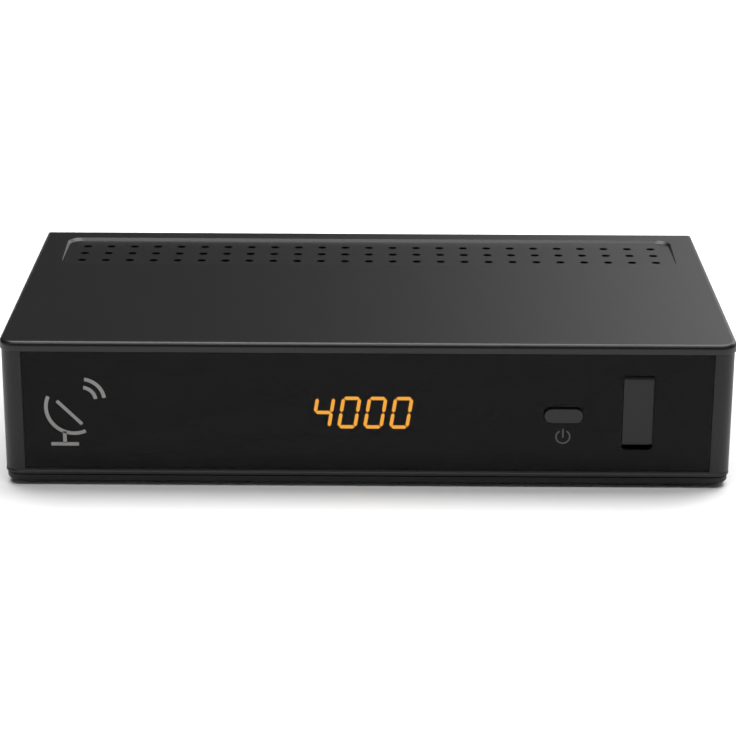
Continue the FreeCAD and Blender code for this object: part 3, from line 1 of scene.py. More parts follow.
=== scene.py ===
"""A small satellite tv receiver, modelled over its construction frame, dressed and lit.

The construction frame gives the inner pieces, which are dressed as they are. The lid, the
smoked window, the key, the socket cover, the light bars and the socket threads are modelled
here with the same outer sizes and finer edges. Sizes in the classes are in millimetres.
"""

import json
import logging
import math
from collections.abc import Callable
from dataclasses import dataclass
from enum import Enum

import bpy
from mathutils import Matrix, Vector


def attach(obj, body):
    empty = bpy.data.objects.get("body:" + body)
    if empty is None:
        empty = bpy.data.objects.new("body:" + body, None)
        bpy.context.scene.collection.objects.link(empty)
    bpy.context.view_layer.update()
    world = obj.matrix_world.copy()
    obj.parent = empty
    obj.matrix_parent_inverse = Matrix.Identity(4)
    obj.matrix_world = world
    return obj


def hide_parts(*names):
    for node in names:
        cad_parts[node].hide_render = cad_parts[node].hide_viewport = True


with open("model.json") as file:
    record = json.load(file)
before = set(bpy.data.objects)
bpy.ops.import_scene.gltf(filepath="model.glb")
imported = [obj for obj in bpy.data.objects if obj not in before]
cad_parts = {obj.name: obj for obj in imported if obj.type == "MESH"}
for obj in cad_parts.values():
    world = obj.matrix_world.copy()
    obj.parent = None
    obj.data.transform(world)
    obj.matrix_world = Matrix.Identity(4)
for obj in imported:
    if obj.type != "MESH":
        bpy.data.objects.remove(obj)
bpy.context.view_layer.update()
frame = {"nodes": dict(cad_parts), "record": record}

LOG = logging.getLogger("receiver")
EdgeTest = Callable[[Vector, Vector], bool]
MM = 0.001
# How far a cutting tool reaches past its piece, and how far joined pieces run into each other
PAST = 1.0
BITE = 0.1


class Body(Enum):
    """The moving bodies that pieces ride on."""

    CASE = "case"
    BUTTON = "power_button"
    PLUNGER = "switch_plunger"
    COVER = "usb_cover"


class Cut(Enum):
    """How a tool mesh works on the piece it is applied to."""

    TAKE_AWAY = "DIFFERENCE"
    ADD = "UNION"


class Axis(Enum):
    """The three directions a face can look along."""

    X = 0
    Y = 1
    Z = 2


# Modelling helpers


def let_go() -> None:
    """Leaves edit mode and deselects everything."""
    if bpy.context.mode != "OBJECT":
        bpy.ops.object.mode_set(mode="OBJECT")
    bpy.ops.object.select_all(action="DESELECT")


def pick(piece: bpy.types.Object) -> None:
    """Makes one piece the selected, active one.

    Args:
        piece: The object to pick.
    """
    let_go()
    piece.select_set(True)
    bpy.context.view_layer.objects.active = piece


def settle(piece: bpy.types.Object) -> None:
    """Puts a piece's place, turn and scale into its mesh."""
    pick(piece)
    bpy.ops.object.transform_apply(location=True, rotation=True, scale=True)


def block(name: str, low: tuple, high: tuple) -> bpy.types.Object:
    """Starts a piece from a box between two corners.

    Args:
        name: The new object's name.
        low: Lowest corner in millimetres.
        high: Highest corner in millimetres.

    Returns:
        The box, with its place in its mesh.
    """
    let_go()
    centre = [(a + b) / 2 * MM for a, b in zip(low, high)]
    bpy.ops.mesh.primitive_cube_add(size=1.0, location=centre)
    piece = bpy.context.active_object
    piece.scale = [(b - a) * MM for a, b in zip(low, high)]
    piece.name = name
    settle(piece)
    return piece


def rod(
    name: str, start: tuple, end: tuple, radius: float, sides: int = 32
) -> bpy.types.Object:
    """Starts a piece from a round bar between two points on one axis.

    Args:
        name: The new object's name.
        start: The middle of one end in millimetres.
        end: The middle of the other end in millimetres.
        radius: The bar's radius in millimetres.
        sides: How many flats go round it.

    Returns:
        The bar, with its place in its mesh.
    """
    let_go()
    first = Vector(start) * MM
    last = Vector(end) * MM
    along = last - first
    turn = along.to_track_quat("Z", "Y").to_euler()
    bpy.ops.mesh.primitive_cylinder_add(
        vertices=sides,
        radius=radius * MM,
        depth=along.length,
        location=(first + last) / 2,
        rotation=turn,
    )
    piece = bpy.context.active_object
    piece.name = name
    settle(piece)
    return piece


def mark_edges(piece: bpy.types.Object, wanted: EdgeTest) -> int:
    """Selects the edges of a piece that pass a test, and leaves it in edit mode.

    Args:
        piece: The mesh object to work on.
        wanted: Called with an edge's two end points in millimetres.

    Returns:
        How many edges were selected.
    """
    pick(piece)
    bpy.ops.object.mode_set(mode="EDIT")
    bpy.ops.mesh.select_mode(type="EDGE")
    bpy.ops.mesh.select_all(action="DESELECT")
    bpy.ops.object.mode_set(mode="OBJECT")
    mesh = piece.data
    count = 0
    for edge in mesh.edges:
        first = mesh.vertices[edge.vertices[0]].co / MM
        last = mesh.vertices[edge.vertices[1]].co / MM
        if wanted(first, last):
            edge.select = True
            count += 1
    bpy.ops.object.mode_set(mode="EDIT")
    return count


def round_edges(
    piece: bpy.types.Object, wanted: EdgeTest, radius: float, steps: int,
    profile: float = 0.5,
) -> None:
    """Rounds the edges of a piece that pass a test.

    Args:
        piece: The mesh object to work on.
        wanted: Called with an edge's two end points in millimetres.
        radius: The rounding's reach in millimetres.
        steps: How many flats make the rounding.
        profile: 0.5 for a round, less for a hollow.
    """
    if mark_edges(piece, wanted):
        bpy.ops.mesh.bevel(
            offset=radius * MM, segments=steps, profile=profile, affect="EDGES",
            clamp_overlap=True,
        )
    bpy.ops.object.mode_set(mode="OBJECT")


def runs_along(axis: Axis) -> EdgeTest:
    """A test for edges that run along one axis.

    Args:
        axis: The axis.

    Returns:
        The test, called with an edge's two end points in millimetres.
    """

    def test(first: Vector, last: Vector) -> bool:
        """True where only one coordinate changes.

        Args:
            first: One end of the edge in millimetres.
            last: Its other end.

        Returns:
            Whether the edge runs along the axis.
        """
        change = last - first
        others = [abs(change[i]) for i in range(3) if i != axis.value]
        return max(others) < 1e-3 and abs(change[axis.value]) > 1e-3

    return test


def lies_at(axis: Axis, level: float, slack: float = 1e-3) -> EdgeTest:
    """A test for edges that lie in one plane across an axis.

    Args:
        axis: The axis that the plane lies across.
        level: Where the plane crosses the axis, in millimetres.
        slack: How far from the plane an end may be.

    Returns:
        The test, called with an edge's two end points in millimetres.
    """

    def test(first: Vector, last: Vector) -> bool:
        """True where both ends are in the plane."""
        index = axis.value
        return abs(first[index] - level) < slack and abs(last[index] - level) < slack

    return test


def work(piece: bpy.types.Object, tool: bpy.types.Object, cut: Cut) -> None:
    """Cuts or joins a piece with a tool mesh, which is used up.

    Args:
        piece: The mesh object to work on.
        tool: The mesh that cuts it or joins it.
        cut: What the tool does.
    """
    pick(piece)
    step = piece.modifiers.new("cut", "BOOLEAN")
    step.operation = cut.value
    step.solver = "EXACT"
    step.object = tool
    bpy.ops.object.modifier_apply(modifier=step.name)
    bpy.data.objects.remove(tool, do_unlink=True)


def join(name: str, parts: list) -> bpy.types.Object:
    """Joins pieces into one object.

    Args:
        name: The joined object's name.
        parts: The mesh objects, of which the first one stays.

    Returns:
        The joined object.
    """
    let_go()
    for part in parts:
        part.select_set(True)
    bpy.context.view_layer.objects.active = parts[0]
    if len(parts) > 1:
        bpy.ops.object.join()
    piece = bpy.context.active_object
    piece.name = name
    return piece


def copy_at(piece: bpy.types.Object, step: tuple) -> bpy.types.Object:
    """Copies a piece with a mesh of its own, moved by some millimetres.

    Args:
        piece: The mesh object to copy.
        step: How far the copy is moved.

    Returns:
        The copy, with its place in its mesh.
    """
    pick(piece)
    bpy.ops.object.duplicate(linked=False)
    copy = bpy.context.active_object
    copy.data.transform(Matrix.Translation(Vector(step) * MM))
    return copy


def tidy_mesh(piece: bpy.types.Object, smooth_angle: float = 35.0) -> None:
    """Merges doubles, turns the faces outward and smooths the shallow edges.

    Args:
        piece: The mesh object to finish.
        smooth_angle: Edges flatter than this many degrees look smooth.
    """
    pick(piece)
    bpy.ops.object.mode_set(mode="EDIT")
    bpy.ops.mesh.select_all(action="SELECT")
    bpy.ops.mesh.remove_doubles(threshold=0.000002)
    bpy.ops.mesh.normals_make_consistent(inside=False)
    bpy.ops.object.mode_set(mode="OBJECT")
    bpy.ops.object.shade_smooth_by_angle(angle=math.radians(smooth_angle))
    even = piece.modifiers.new("even", "WEIGHTED_NORMAL")
    even.keep_sharp = True
    bpy.ops.object.modifier_apply(modifier=even.name)
    let_go()


def rounded_block(
    name: str, low: tuple, high: tuple, corner: float, steps: int = 10, rear: bool = True
) -> bpy.types.Object:
    """A box whose upright edges are rounded in plan.

    Args:
        name: The new object's name.
        low: Lowest corner in millimetres.
        high: Highest corner in millimetres.
        corner: The rounding's radius.
        steps: How many flats make the rounding.
        rear: False leaves the two rear edges square.

    Returns:
        The rounded box.
    """
    piece = block(name, low, high)
    middle = (low[1] + high[1]) / 2

    def wanted(first: Vector, last: Vector) -> bool:
        """True for the upright edges that get rounded."""
        return runs_along(Axis.Z)(first, last) and (rear or first.y < middle)

    round_edges(piece, wanted, corner, steps)
    return piece


def stadium_bar(
    name: str, centre: tuple, width: float, height: float, front: float, back: float
) -> bpy.types.Object:
    """A bar along Y with half-round ends.

    Args:
        name: The new object's name.
        centre: Its middle as (x, z) in millimetres.
        width: Its length along X.
        height: Its height along Z.
        front: Where it starts along Y.
        back: Where it ends along Y.

    Returns:
        The bar.
    """
    x, z = centre
    piece = block(
        name, (x - width / 2, front, z - height / 2), (x + width / 2, back, z + height / 2)
    )
    round_edges(piece, runs_along(Axis.Y), height / 2 - 0.005, 12)
    return piece


# Finishes


def linear(code: str) -> tuple:
    """Turns an sRGB hex colour into linear light with alpha.

    Args:
        code: The colour as a hash sign and six hex digits.

    Returns:
        Red, green, blue and alpha.
    """
    values = []
    for start in (1, 3, 5):
        part = int(code[start:start + 2], 16) / 255
        values.append(part / 12.92 if part <= 0.04045 else ((part + 0.055) / 1.055) ** 2.4)
    return (*values, 1.0)


def add_node(
    tree: bpy.types.NodeTree, kind: str, links: dict | None = None, **settings: str
) -> bpy.types.Node:
    """Adds one shader node, sets it up and links it.

    Args:
        tree: The node tree to add to.
        kind: The node's type name.
        links: Its input names with the output socket or plain value each takes.
        settings: Attributes of the node itself.

    Returns:
        The new node.
    """
    node = tree.nodes.new(kind)
    for key, value in settings.items():
        setattr(node, key, value)
    for key, value in (links or {}).items():
        if isinstance(value, bpy.types.NodeSocket):
            tree.links.new(value, node.inputs[key])
        else:
            node.inputs[key].default_value = value
    return node


@dataclass(frozen=True)
class Finish:
    """A surface finish: its colour, how it shines and the grain that its making leaves.

    grain_mm is the pattern's size, grain_depth_mm how deep it looks, and mottle how far the
    colour and the shine wander with it.
    """

    name: str
    colour: str
    roughness: float
    metallic: float = 0.0
    ior: float = 1.46
    specular: float = 0.5
    grain_mm: float = 0.6
    grain_depth_mm: float = 0.01
    mottle: float = 0.06
    stretch: tuple = (1.0, 1.0, 1.0)
    alpha: float = 1.0
    glow: float = 0.0
    coat: float = 0.0

    def build(self) -> bpy.types.Material:
        """Builds the finish as a node material.

        Returns:
            The material.
        """
        material = bpy.data.materials.new(self.name)
        material.use_nodes = True
        tree = material.node_tree
        tree.nodes.clear()
        place = add_node(tree, "ShaderNodeTexCoord")
        sized = add_node(
            tree,
            "ShaderNodeMapping",
            {"Vector": place.outputs["Object"], "Scale": self.stretch},
        )
        grain = add_node(
            tree,
            "ShaderNodeTexNoise",
            {
                "Vector": sized.outputs["Vector"],
                "Scale": 1.0 / (self.grain_mm * MM),
                "Detail": 3.0,
                "Roughness": 0.55,
            },
        )
        drift = add_node(
            tree,
            "ShaderNodeTexNoise",
            {"Vector": sized.outputs["Vector"], "Scale": 28.0, "Detail": 2.0},
        )
        base = linear(self.colour)
        dark = tuple(part * (1 - self.mottle) for part in base[:3]) + (1.0,)
        light = tuple(part * (1 + self.mottle) for part in base[:3]) + (1.0,)
        tint = add_node(
            tree,
            "ShaderNodeMix",
            {0: drift.outputs["Fac"], 6: dark, 7: light},
            data_type="RGBA",
        )
        shine = add_node(
            tree,
            "ShaderNodeMapRange",
            {
                "Value": grain.outputs["Fac"],
                "To Min": self.roughness * (1 - self.mottle),
                "To Max": min(self.roughness * (1 + self.mottle), 1.0),
            },
        )
        bump = add_node(
            tree,
            "ShaderNodeBump",
            {
                "Height": grain.outputs["Fac"],
                "Strength": 0.6,
                "Distance": self.grain_depth_mm * MM,
            },
        )
        shader = add_node(
            tree,
            "ShaderNodeBsdfPrincipled",
            {
                "Base Color": tint.outputs[2],
                "Roughness": shine.outputs["Result"],
                "Normal": bump.outputs["Normal"],
                "Metallic": self.metallic,
                "IOR": self.ior,
                "Specular IOR Level": self.specular,
                "Alpha": self.alpha,
                "Coat Weight": self.coat,
                "Coat Roughness": 0.08,
            },
        )
        if self.glow:
            shader.inputs["Emission Color"].default_value = base
            shader.inputs["Emission Strength"].default_value = self.glow
        add_node(
            tree, "ShaderNodeOutputMaterial", {"Surface": shader.outputs["BSDF"]}
        )
        return material


class Palette:
    """All the finishes, made once each when first asked for."""

    FINISHES = {
        # Fine spark-eroded grain on moulded ABS: an even black that greys under light
        "lid_abs": Finish(
            "moulded_abs_lid", "#0f0f10", 0.35, specular=0.45, grain_mm=0.35, grain_depth_mm=0.01
        ),
        # Satin ABS from a finely blasted mould: wide soft highlights and no clear reflection
        "tray_abs": Finish("moulded_abs_tray", "#181819", 0.5, specular=0.34, grain_mm=0.4),
        "bezel_abs": Finish("satin_abs_frame", "#171718", 0.42, specular=0.34, grain_mm=0.35),
        # Smoked acrylic with its flow-polished face: near black, with a clean weak reflection
        "smoked_acrylic": Finish(
            "smoked_acrylic_polished", "#060606", 0.06, ior=1.49, specular=0.12,
            grain_mm=6.0, grain_depth_mm=0.001, mottle=0.03, alpha=0.85,
        ),
        # The same ABS in smaller mouldings, a little smoother where fingers touch
        "key_abs": Finish("satin_abs_key", "#161717", 0.34, specular=0.38, grain_mm=0.3),
        "flap_abs": Finish("satin_abs_cover", "#171718", 0.40, specular=0.35, grain_mm=0.3),
        # Moulded rubber: matt, with hardly a highlight
        "foot_rubber": Finish("moulded_rubber", "#161616", 0.8, grain_mm=0.8),
        # Powder coat on sheet steel: matt black with a faint pebbled grain
        "plate_steel": Finish("powder_coated_steel", "#1b1b1c", 0.55, grain_mm=0.5),
        # Solder mask over laminate: green with a soft shine
        "board_laminate": Finish(
            "solder_mask_laminate", "#17402a", 0.35, grain_mm=2.0, grain_depth_mm=0.02
        ),
        # Plated and blackened screws: small bright or dark glints
        "zinc_steel": Finish(
            "zinc_plated_steel", "#a9abae", 0.3, metallic=1.0, specular=0.5, grain_mm=0.8
        ),
        "black_steel": Finish("blackened_steel", "#1c1c1e", 0.38, metallic=0.6, grain_mm=0.5),
        # Cast epoxy: dull when dark, and an even amber glow where it is lit
        "display_epoxy": Finish("cast_display_epoxy", "#0b0b0b", 0.5, grain_mm=1.0),
        "amber_epoxy": Finish("unlit_diffusing_epoxy", "#141210", 0.5, grain_mm=0.5),
        "lit_epoxy": Finish("lit_amber_epoxy", "#f0a63a", 0.5, grain_mm=0.8, glow=45.0),
        "black_nylon": Finish("moulded_black_nylon", "#191919", 0.5, grain_mm=0.5),
        "eye_epoxy": Finish("dark_filter_epoxy", "#120b0d", 0.12, grain_mm=2.0),
        # Drawn and plated shells: a clean sheen, stretched the way the metal was drawn
        "nickel_shell": Finish(
            "drawn_nickel_plate", "#b9b6ae", 0.24, metallic=1.0, grain_mm=0.6,
            stretch=(1.0, 0.2, 1.0),
        ),
        "white_nylon": Finish("moulded_white_nylon", "#d8d5cc", 0.45, grain_mm=0.6),
        "gold_contact": Finish("flash_gold_contact", "#c9a24c", 0.25, metallic=1.0),
        "tin_plate": Finish("tinned_sheet", "#b3b5b6", 0.34, metallic=1.0, grain_mm=1.4),
        # Turned brass under nickel: the brightest metal, with sharp highlights
        "nickel_brass": Finish("turned_nickel_brass", "#bdbbb4", 0.22, metallic=1.0),
        "orange_pbt": Finish("moulded_orange_pbt", "#d9691e", 0.42, grain_mm=0.5),
        # Extruded fins: a grey sheen with fine lines along their length
        "sink_aluminium": Finish(
            "extruded_aluminium", "#9fa2a5", 0.38, metallic=1.0, stretch=(1.0, 0.1, 1.0)
        ),
        "pad_silicone": Finish("silicone_pad", "#7f8f9c", 0.75),
        "chip_epoxy": Finish("moulded_chip_epoxy", "#19191a", 0.6, grain_mm=0.4),
        "can_aluminium": Finish("sleeved_aluminium_can", "#2f3a55", 0.35, grain_mm=1.0),
        "coil_ferrite": Finish("pressed_ferrite", "#38383a", 0.65, grain_mm=0.5),
        # Screen-printed marks: flat ink, a little lighter than the parts round it
        "mark_ink": Finish("screen_printed_ink", "#8f8d8b", 0.6, grain_mm=0.5),
        "dim_ink": Finish("dim_screen_printed_ink", "#4c4c4d", 0.6, grain_mm=0.5),
    }

    def __init__(self) -> None:
        """Starts with nothing built."""
        self.built = {}

    def get(self, slot: str) -> bpy.types.Material:
        """The material of one slot, built when first asked for.

        Args:
            slot: The finish's key.

        Returns:
            The material.
        """
        if slot not in self.built:
            self.built[slot] = self.FINISHES[slot].build()
        return self.built[slot]

    def dress(self, piece: bpy.types.Object, slot: str) -> None:
        """Gives a piece one finish all over."""
        piece.data.materials.clear()
        piece.data.materials.append(self.get(slot))


PALETTE = Palette()


def enter(
    piece: bpy.types.Object, body: Body, finish: str, nodes: tuple = ()
) -> bpy.types.Object:
    """Dresses a new piece and ties it to the frame.

    Args:
        piece: The finished mesh object.
        body: The moving body it rides on.
        finish: The finish it is dressed in.
        nodes: The construction nodes that it stands for.

    Returns:
        The piece.
    """
    PALETTE.dress(piece, finish)
    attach(piece, body.value)
    if nodes:
        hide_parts(*nodes)
    LOG.info("made %s with %d faces", piece.name, len(piece.data.polygons))
    return piece


@dataclass
class Place:
    """The receiver's main planes, shared by its sub-assemblies."""

    half_width: float = 110.0
    front: float = -63.75
    rear: float = 54.25
    top: float = 46.0
    rim_bottom: float = 42.95
    wall_bottom: float = 4.0
    corner: float = 5.5
    panel: float = -63.15
    window_back: float = -61.15


PLACE = Place()


@dataclass
class Lid:
    """The moulded lid: rounded rim, side walls, and the sunken field with its round vents."""

    edge: float = 1.5
    thickness: float = 2.2
    wall_inset: float = 0.5
    wall: float = 2.2
    bezel_rear: float = -54.55
    rear_return: float = 8.0
    post_radius: float = 3.5
    post_x: float = 100.8
    post_rows: tuple = (-46.75, 45.25)
    post_foot: float = 10.0
    pilot: float = 1.5
    pilot_top: float = 22.0
    field_half: float = 100.8
    field_front: float = 16.25
    field_rear: float = 45.55
    field_depth: float = 0.8
    field_slope: float = 1.2
    field_corner: float = 4.5
    vent_radius: float = 1.4
    vent_pitch: tuple = (7.87, 8.6)
    vent_counts: tuple = (25, 3)
    vent_middle: float = 29.55
    vent_sides: int = 28
    card_middle: float = -4.0
    card_half: float = 28.3
    card_low: float = 10.8
    card_high: float = 13.4

    def shell(self) -> bpy.types.Object:
        """The lid and its walls, hollow and open below, with the gaps front and rear.

        Returns:
            The shell, before its posts and vents.
        """
        p = PLACE
        half = p.half_width
        lid = rounded_block(
            "lid", (-half, p.front, p.rim_bottom), (half, p.rear, p.top), p.corner, 14, False
        )
        round_edges(lid, lies_at(Axis.Z, p.top), self.edge, 6)
        round_edges(lid, lies_at(Axis.Z, p.rim_bottom), 0.25, 2)
        inset = self.wall_inset
        walls = rounded_block(
            "walls",
            (-half + inset, p.front + inset, p.wall_bottom),
            (half - inset, p.rear - inset, p.top - 1.0),
            p.corner - inset,
            14,
            False,
        )
        round_edges(walls, lies_at(Axis.Z, p.wall_bottom), 0.2, 2)
        front_gap = block(
            "front_gap",
            (-half - PAST, p.front - PAST, p.wall_bottom - PAST),
            (half + PAST, self.bezel_rear, p.rim_bottom + BITE),
        )
        gap_half = half - self.rear_return
        rear_gap = block(
            "rear_gap",
            (-gap_half, p.rear - 4, p.wall_bottom - 1),
            (gap_half, p.rear + PAST, p.rim_bottom + BITE),
        )
        work(walls, front_gap, Cut.TAKE_AWAY)
        work(walls, rear_gap, Cut.TAKE_AWAY)
        work(lid, walls, Cut.ADD)
        reach = self.wall_inset + self.wall
        hollow = rounded_block(
            "hollow",
            (-half + reach, p.front + reach, p.wall_bottom - PAST),
            (half - reach, p.rear - reach, p.top - self.thickness),
            p.corner - reach,
            8,
            False,
        )
        work(lid, hollow, Cut.TAKE_AWAY)
        return lid

    def posts(self, lid: bpy.types.Object) -> None:
        """Adds the four screw posts with their pilot holes.

        Args:
            lid: The shell that gets the posts.
        """
        for side in (-1, 1):
            for row in self.post_rows:
                x = side * self.post_x
                top = PLACE.top - self.thickness + BITE
                post = rod("post", (x, row, self.post_foot), (x, row, top), self.post_radius)
                work(lid, post, Cut.ADD)
                hole = rod(
                    "hole", (x, row, self.post_foot - PAST), (x, row, self.pilot_top),
                    self.pilot, 16,
                )
                work(lid, hole, Cut.TAKE_AWAY)

    def field_tool(self) -> bpy.types.Object:
        """The tool for the sunken field: a plate with sloped sides, tipped down to the rear.

        Returns:
            The tool mesh.
        """
        above = 3.0
        spread = self.field_slope / self.field_depth * above
        tool = rounded_block(
            "field",
            (-self.field_half, self.field_front, PLACE.top - self.field_depth),
            (self.field_half, self.field_rear, PLACE.top + above),
            self.field_corner,
            8,
        )
        top = (PLACE.top + above) * MM
        centre = Vector((0.0, (self.field_front + self.field_rear) / 2 * MM, top))
        width = 2 * self.field_half
        depth = self.field_rear - self.field_front
        pick(tool)
        bpy.ops.object.mode_set(mode="EDIT")
        bpy.ops.mesh.select_all(action="DESELECT")
        bpy.ops.object.mode_set(mode="OBJECT")
        for vertex in tool.data.vertices:
            vertex.select = abs(vertex.co.z - top) < 1e-6
        bpy.ops.object.mode_set(mode="EDIT")
        bpy.ops.transform.resize(
            value=((width + 2 * spread) / width, (depth + 2 * spread) / depth, 1.0),
            center_override=centre,
        )
        bpy.ops.mesh.select_all(action="SELECT")
        hinge = Vector((0.0, self.field_front * MM, PLACE.top * MM))
        slope = math.atan(self.field_depth / (self.field_rear - self.field_front))
        bpy.ops.transform.translate(value=(0.0, 0.0, self.field_depth * MM))
        bpy.ops.transform.rotate(
            value=slope, orient_axis="X", orient_type="GLOBAL", center_override=hinge
        )
        bpy.ops.object.mode_set(mode="OBJECT")
        return tool

    def vent_tool(self) -> bpy.types.Object:
        """All vents as one tool, copied from a single round bar.

        Returns:
            The tool mesh.
        """
        columns, rows = self.vent_counts
        step_x, step_y = self.vent_pitch
        x0 = -(columns - 1) / 2 * step_x
        y0 = self.vent_middle - (rows - 1) / 2 * step_y
        first = rod(
            "vent", (x0, y0, PLACE.top - 4), (x0, y0, PLACE.top + 1),
            self.vent_radius, self.vent_sides,
        )
        bars = [first]
        for column in range(columns):
            for row in range(rows):
                if column or row:
                    bars.append(copy_at(first, (column * step_x, row * step_y, 0.0)))
        return join("vents", bars)

    def build(self) -> bpy.types.Object:
        """Models and dresses the lid.

        Returns:
            The finished lid.
        """
        lid = self.shell()
        self.posts(lid)
        work(lid, self.field_tool(), Cut.TAKE_AWAY)
        work(lid, self.vent_tool(), Cut.TAKE_AWAY)
        slot = block(
            "slot",
            (-PLACE.half_width - PAST, self.card_middle - self.card_half, self.card_low),
            (-PLACE.half_width + 4, self.card_middle + self.card_half, self.card_high),
        )
        work(lid, slot, Cut.TAKE_AWAY)
        tidy_mesh(lid, 30.0)
        return enter(lid, Body.CASE, "lid_abs", ("top_cover",))


@dataclass
class Window:
    """The smoked plate across the front, with the openings for the key and the socket cover; the
    power key's mark printed on it is a piece of its own.
    """

    half_width: float = 103.1
    low: float = 5.6
    high: float = 42.75
    edge: float = 0.15
    key_x: float = 58.6
    key_z: float = 23.625
    key_width: float = 12.4
    key_height: float = 5.2
    cover_x: float = 80.85
    cover_half: float = 4.6
    cover_low: float = 14.325
    cover_high: float = 36.225
    scoop_height: float = 1.7
    scoop_rise: float = 0.9
    scoop_corner: float = 1.2
    lip: float = 0.45
    seat_half: float = 5.85
    seat_y: float = -61.85
    seat_z: float = 34.725
    seat_radius: float = 0.55

    def cover_tool(self) -> bpy.types.Object:
        """The tool for the socket cover's opening.

        Returns:
            The tool mesh.
        """
        return block(
            "opening",
            (self.cover_x - self.cover_half, PLACE.panel - PAST, self.cover_low),
            (self.cover_x + self.cover_half, PLACE.window_back + PAST, self.cover_high),
        )

    def scoop_tool(self) -> bpy.types.Object:
        """The tool for the finger-nail scoop under the cover.

        Returns:
            The tool mesh.
        """
        low = self.cover_low - self.scoop_height
        tool = block(
            "scoop",
            (self.cover_x - self.cover_half, PLACE.panel - 0.01, low),
            (self.cover_x + self.cover_half, PLACE.window_back + PAST, self.cover_low + BITE),
        )

        def low_corner(first: Vector, last: Vector) -> bool:
            """True for the two lowest edges along Y."""
            return runs_along(Axis.Y)(first, last) and first.z < low + 0.01

        round_edges(tool, low_corner, self.scoop_corner, 6)
        wedge = block(
            "wedge",
            (self.cover_x - 9, PLACE.panel - 3, low - 4),
            (self.cover_x + 9, PLACE.window_back + 3, low),
        )
        pick(wedge)
        bpy.ops.object.mode_set(mode="EDIT")
        bpy.ops.mesh.select_all(action="SELECT")
        bpy.ops.transform.rotate(
            value=-math.atan(self.scoop_rise / 2.0),
            orient_axis="X",
            orient_type="GLOBAL",
            center_override=(0.0, PLACE.panel * MM, low * MM),
        )
        bpy.ops.object.mode_set(mode="OBJECT")
        work(tool, wedge, Cut.TAKE_AWAY)
        return tool

    def build(self) -> bpy.types.Object:
        """Models and dresses the window.

        Returns:
            The finished window.
        """
        plate = block(
            "window",
            (-self.half_width, PLACE.panel, self.low),
            (self.half_width, PLACE.window_back, self.high),
        )
        key_tool = stadium_bar(
            "key_tool", (self.key_x, self.key_z), self.key_width, self.key_height,
            PLACE.panel - PAST, PLACE.window_back + PAST,
        )
        seat = rod(
            "seat",
            (self.cover_x - self.seat_half, self.seat_y, self.seat_z),
            (self.cover_x + self.seat_half, self.seat_y, self.seat_z),
            self.seat_radius,
            16,
        )
        way_in = block(
            "way_in",
            (self.cover_x - self.seat_half, self.seat_y, self.seat_z - self.seat_radius),
            (
                self.cover_x + self.seat_half,
                PLACE.window_back + PAST,
                self.seat_z + self.seat_radius,
            ),
        )
        tools = [key_tool, self.cover_tool(), self.scoop_tool(), seat, way_in]
        for tool in tools:
            work(plate, tool, Cut.TAKE_AWAY)
        scoop_low = self.cover_low - self.scoop_height

        def scoop_lip(first: Vector, last: Vector) -> bool:
            """True for the scoop's lower front edge, which is cut wide and catches the light.

            Args:
                first: One end of the edge in millimetres.
                last: Its other end.

            Returns:
                Whether the edge is on the scoop's lower lip.
            """
            across = max(abs(first.x - self.cover_x), abs(last.x - self.cover_x))
            low = min(first.z, last.z) > scoop_low - 0.1
            high = max(first.z, last.z) < self.cover_low - 0.2
            return lies_at(Axis.Y, PLACE.panel)(first, last) and across < 5 and low and high

        def outline(first: Vector, last: Vector) -> bool:
            """True for all other front edges.

            Args:
                first: One end of the edge in millimetres.
                last: Its other end.

            Returns:
                Whether the edge is on the front face's outline.
            """
            return lies_at(Axis.Y, PLACE.panel)(first, last) and not (
                max(abs(first.x - self.cover_x), abs(last.x - self.cover_x)) < 5.6
                and max(first.z, last.z) < self.cover_low - 0.2
                and min(first.z, last.z) > scoop_low - 1.2
            )

        round_edges(plate, scoop_lip, self.lip, 2)
        round_edges(plate, outline, self.edge, 3)
        tidy_mesh(plate, 30.0)
        return enter(plate, Body.CASE, "smoked_acrylic", ("front_window",))


@dataclass
class PowerMark:
    """The printed power sign under the key: an open ring and a bar."""

    x: float = 58.6
    z: float = 16.7
    radius: float = 2.05
    stroke: float = 0.45
    opening: float = 62.0
    bar_low: float = 16.4
    bar_high: float = 19.2
    film: float = 0.02

    def build(self) -> bpy.types.Object:
        """Models and dresses the sign as a thin print on the window.

        Returns:
            The finished sign.
        """
        face = PLACE.panel
        arc = spun_arc(
            "power_sign", (self.x, self.z), self.radius, self.stroke,
            90 + self.opening / 2, 450 - self.opening / 2, face, self.film,
        )
        bar = block(
            "bar",
            (self.x - self.stroke / 2, face - self.film, self.bar_low),
            (self.x + self.stroke / 2, face, self.bar_high),
        )
        sign = join("power_sign", [arc, bar])
        tidy_mesh(sign)
        return enter(sign, Body.CASE, "dim_ink")


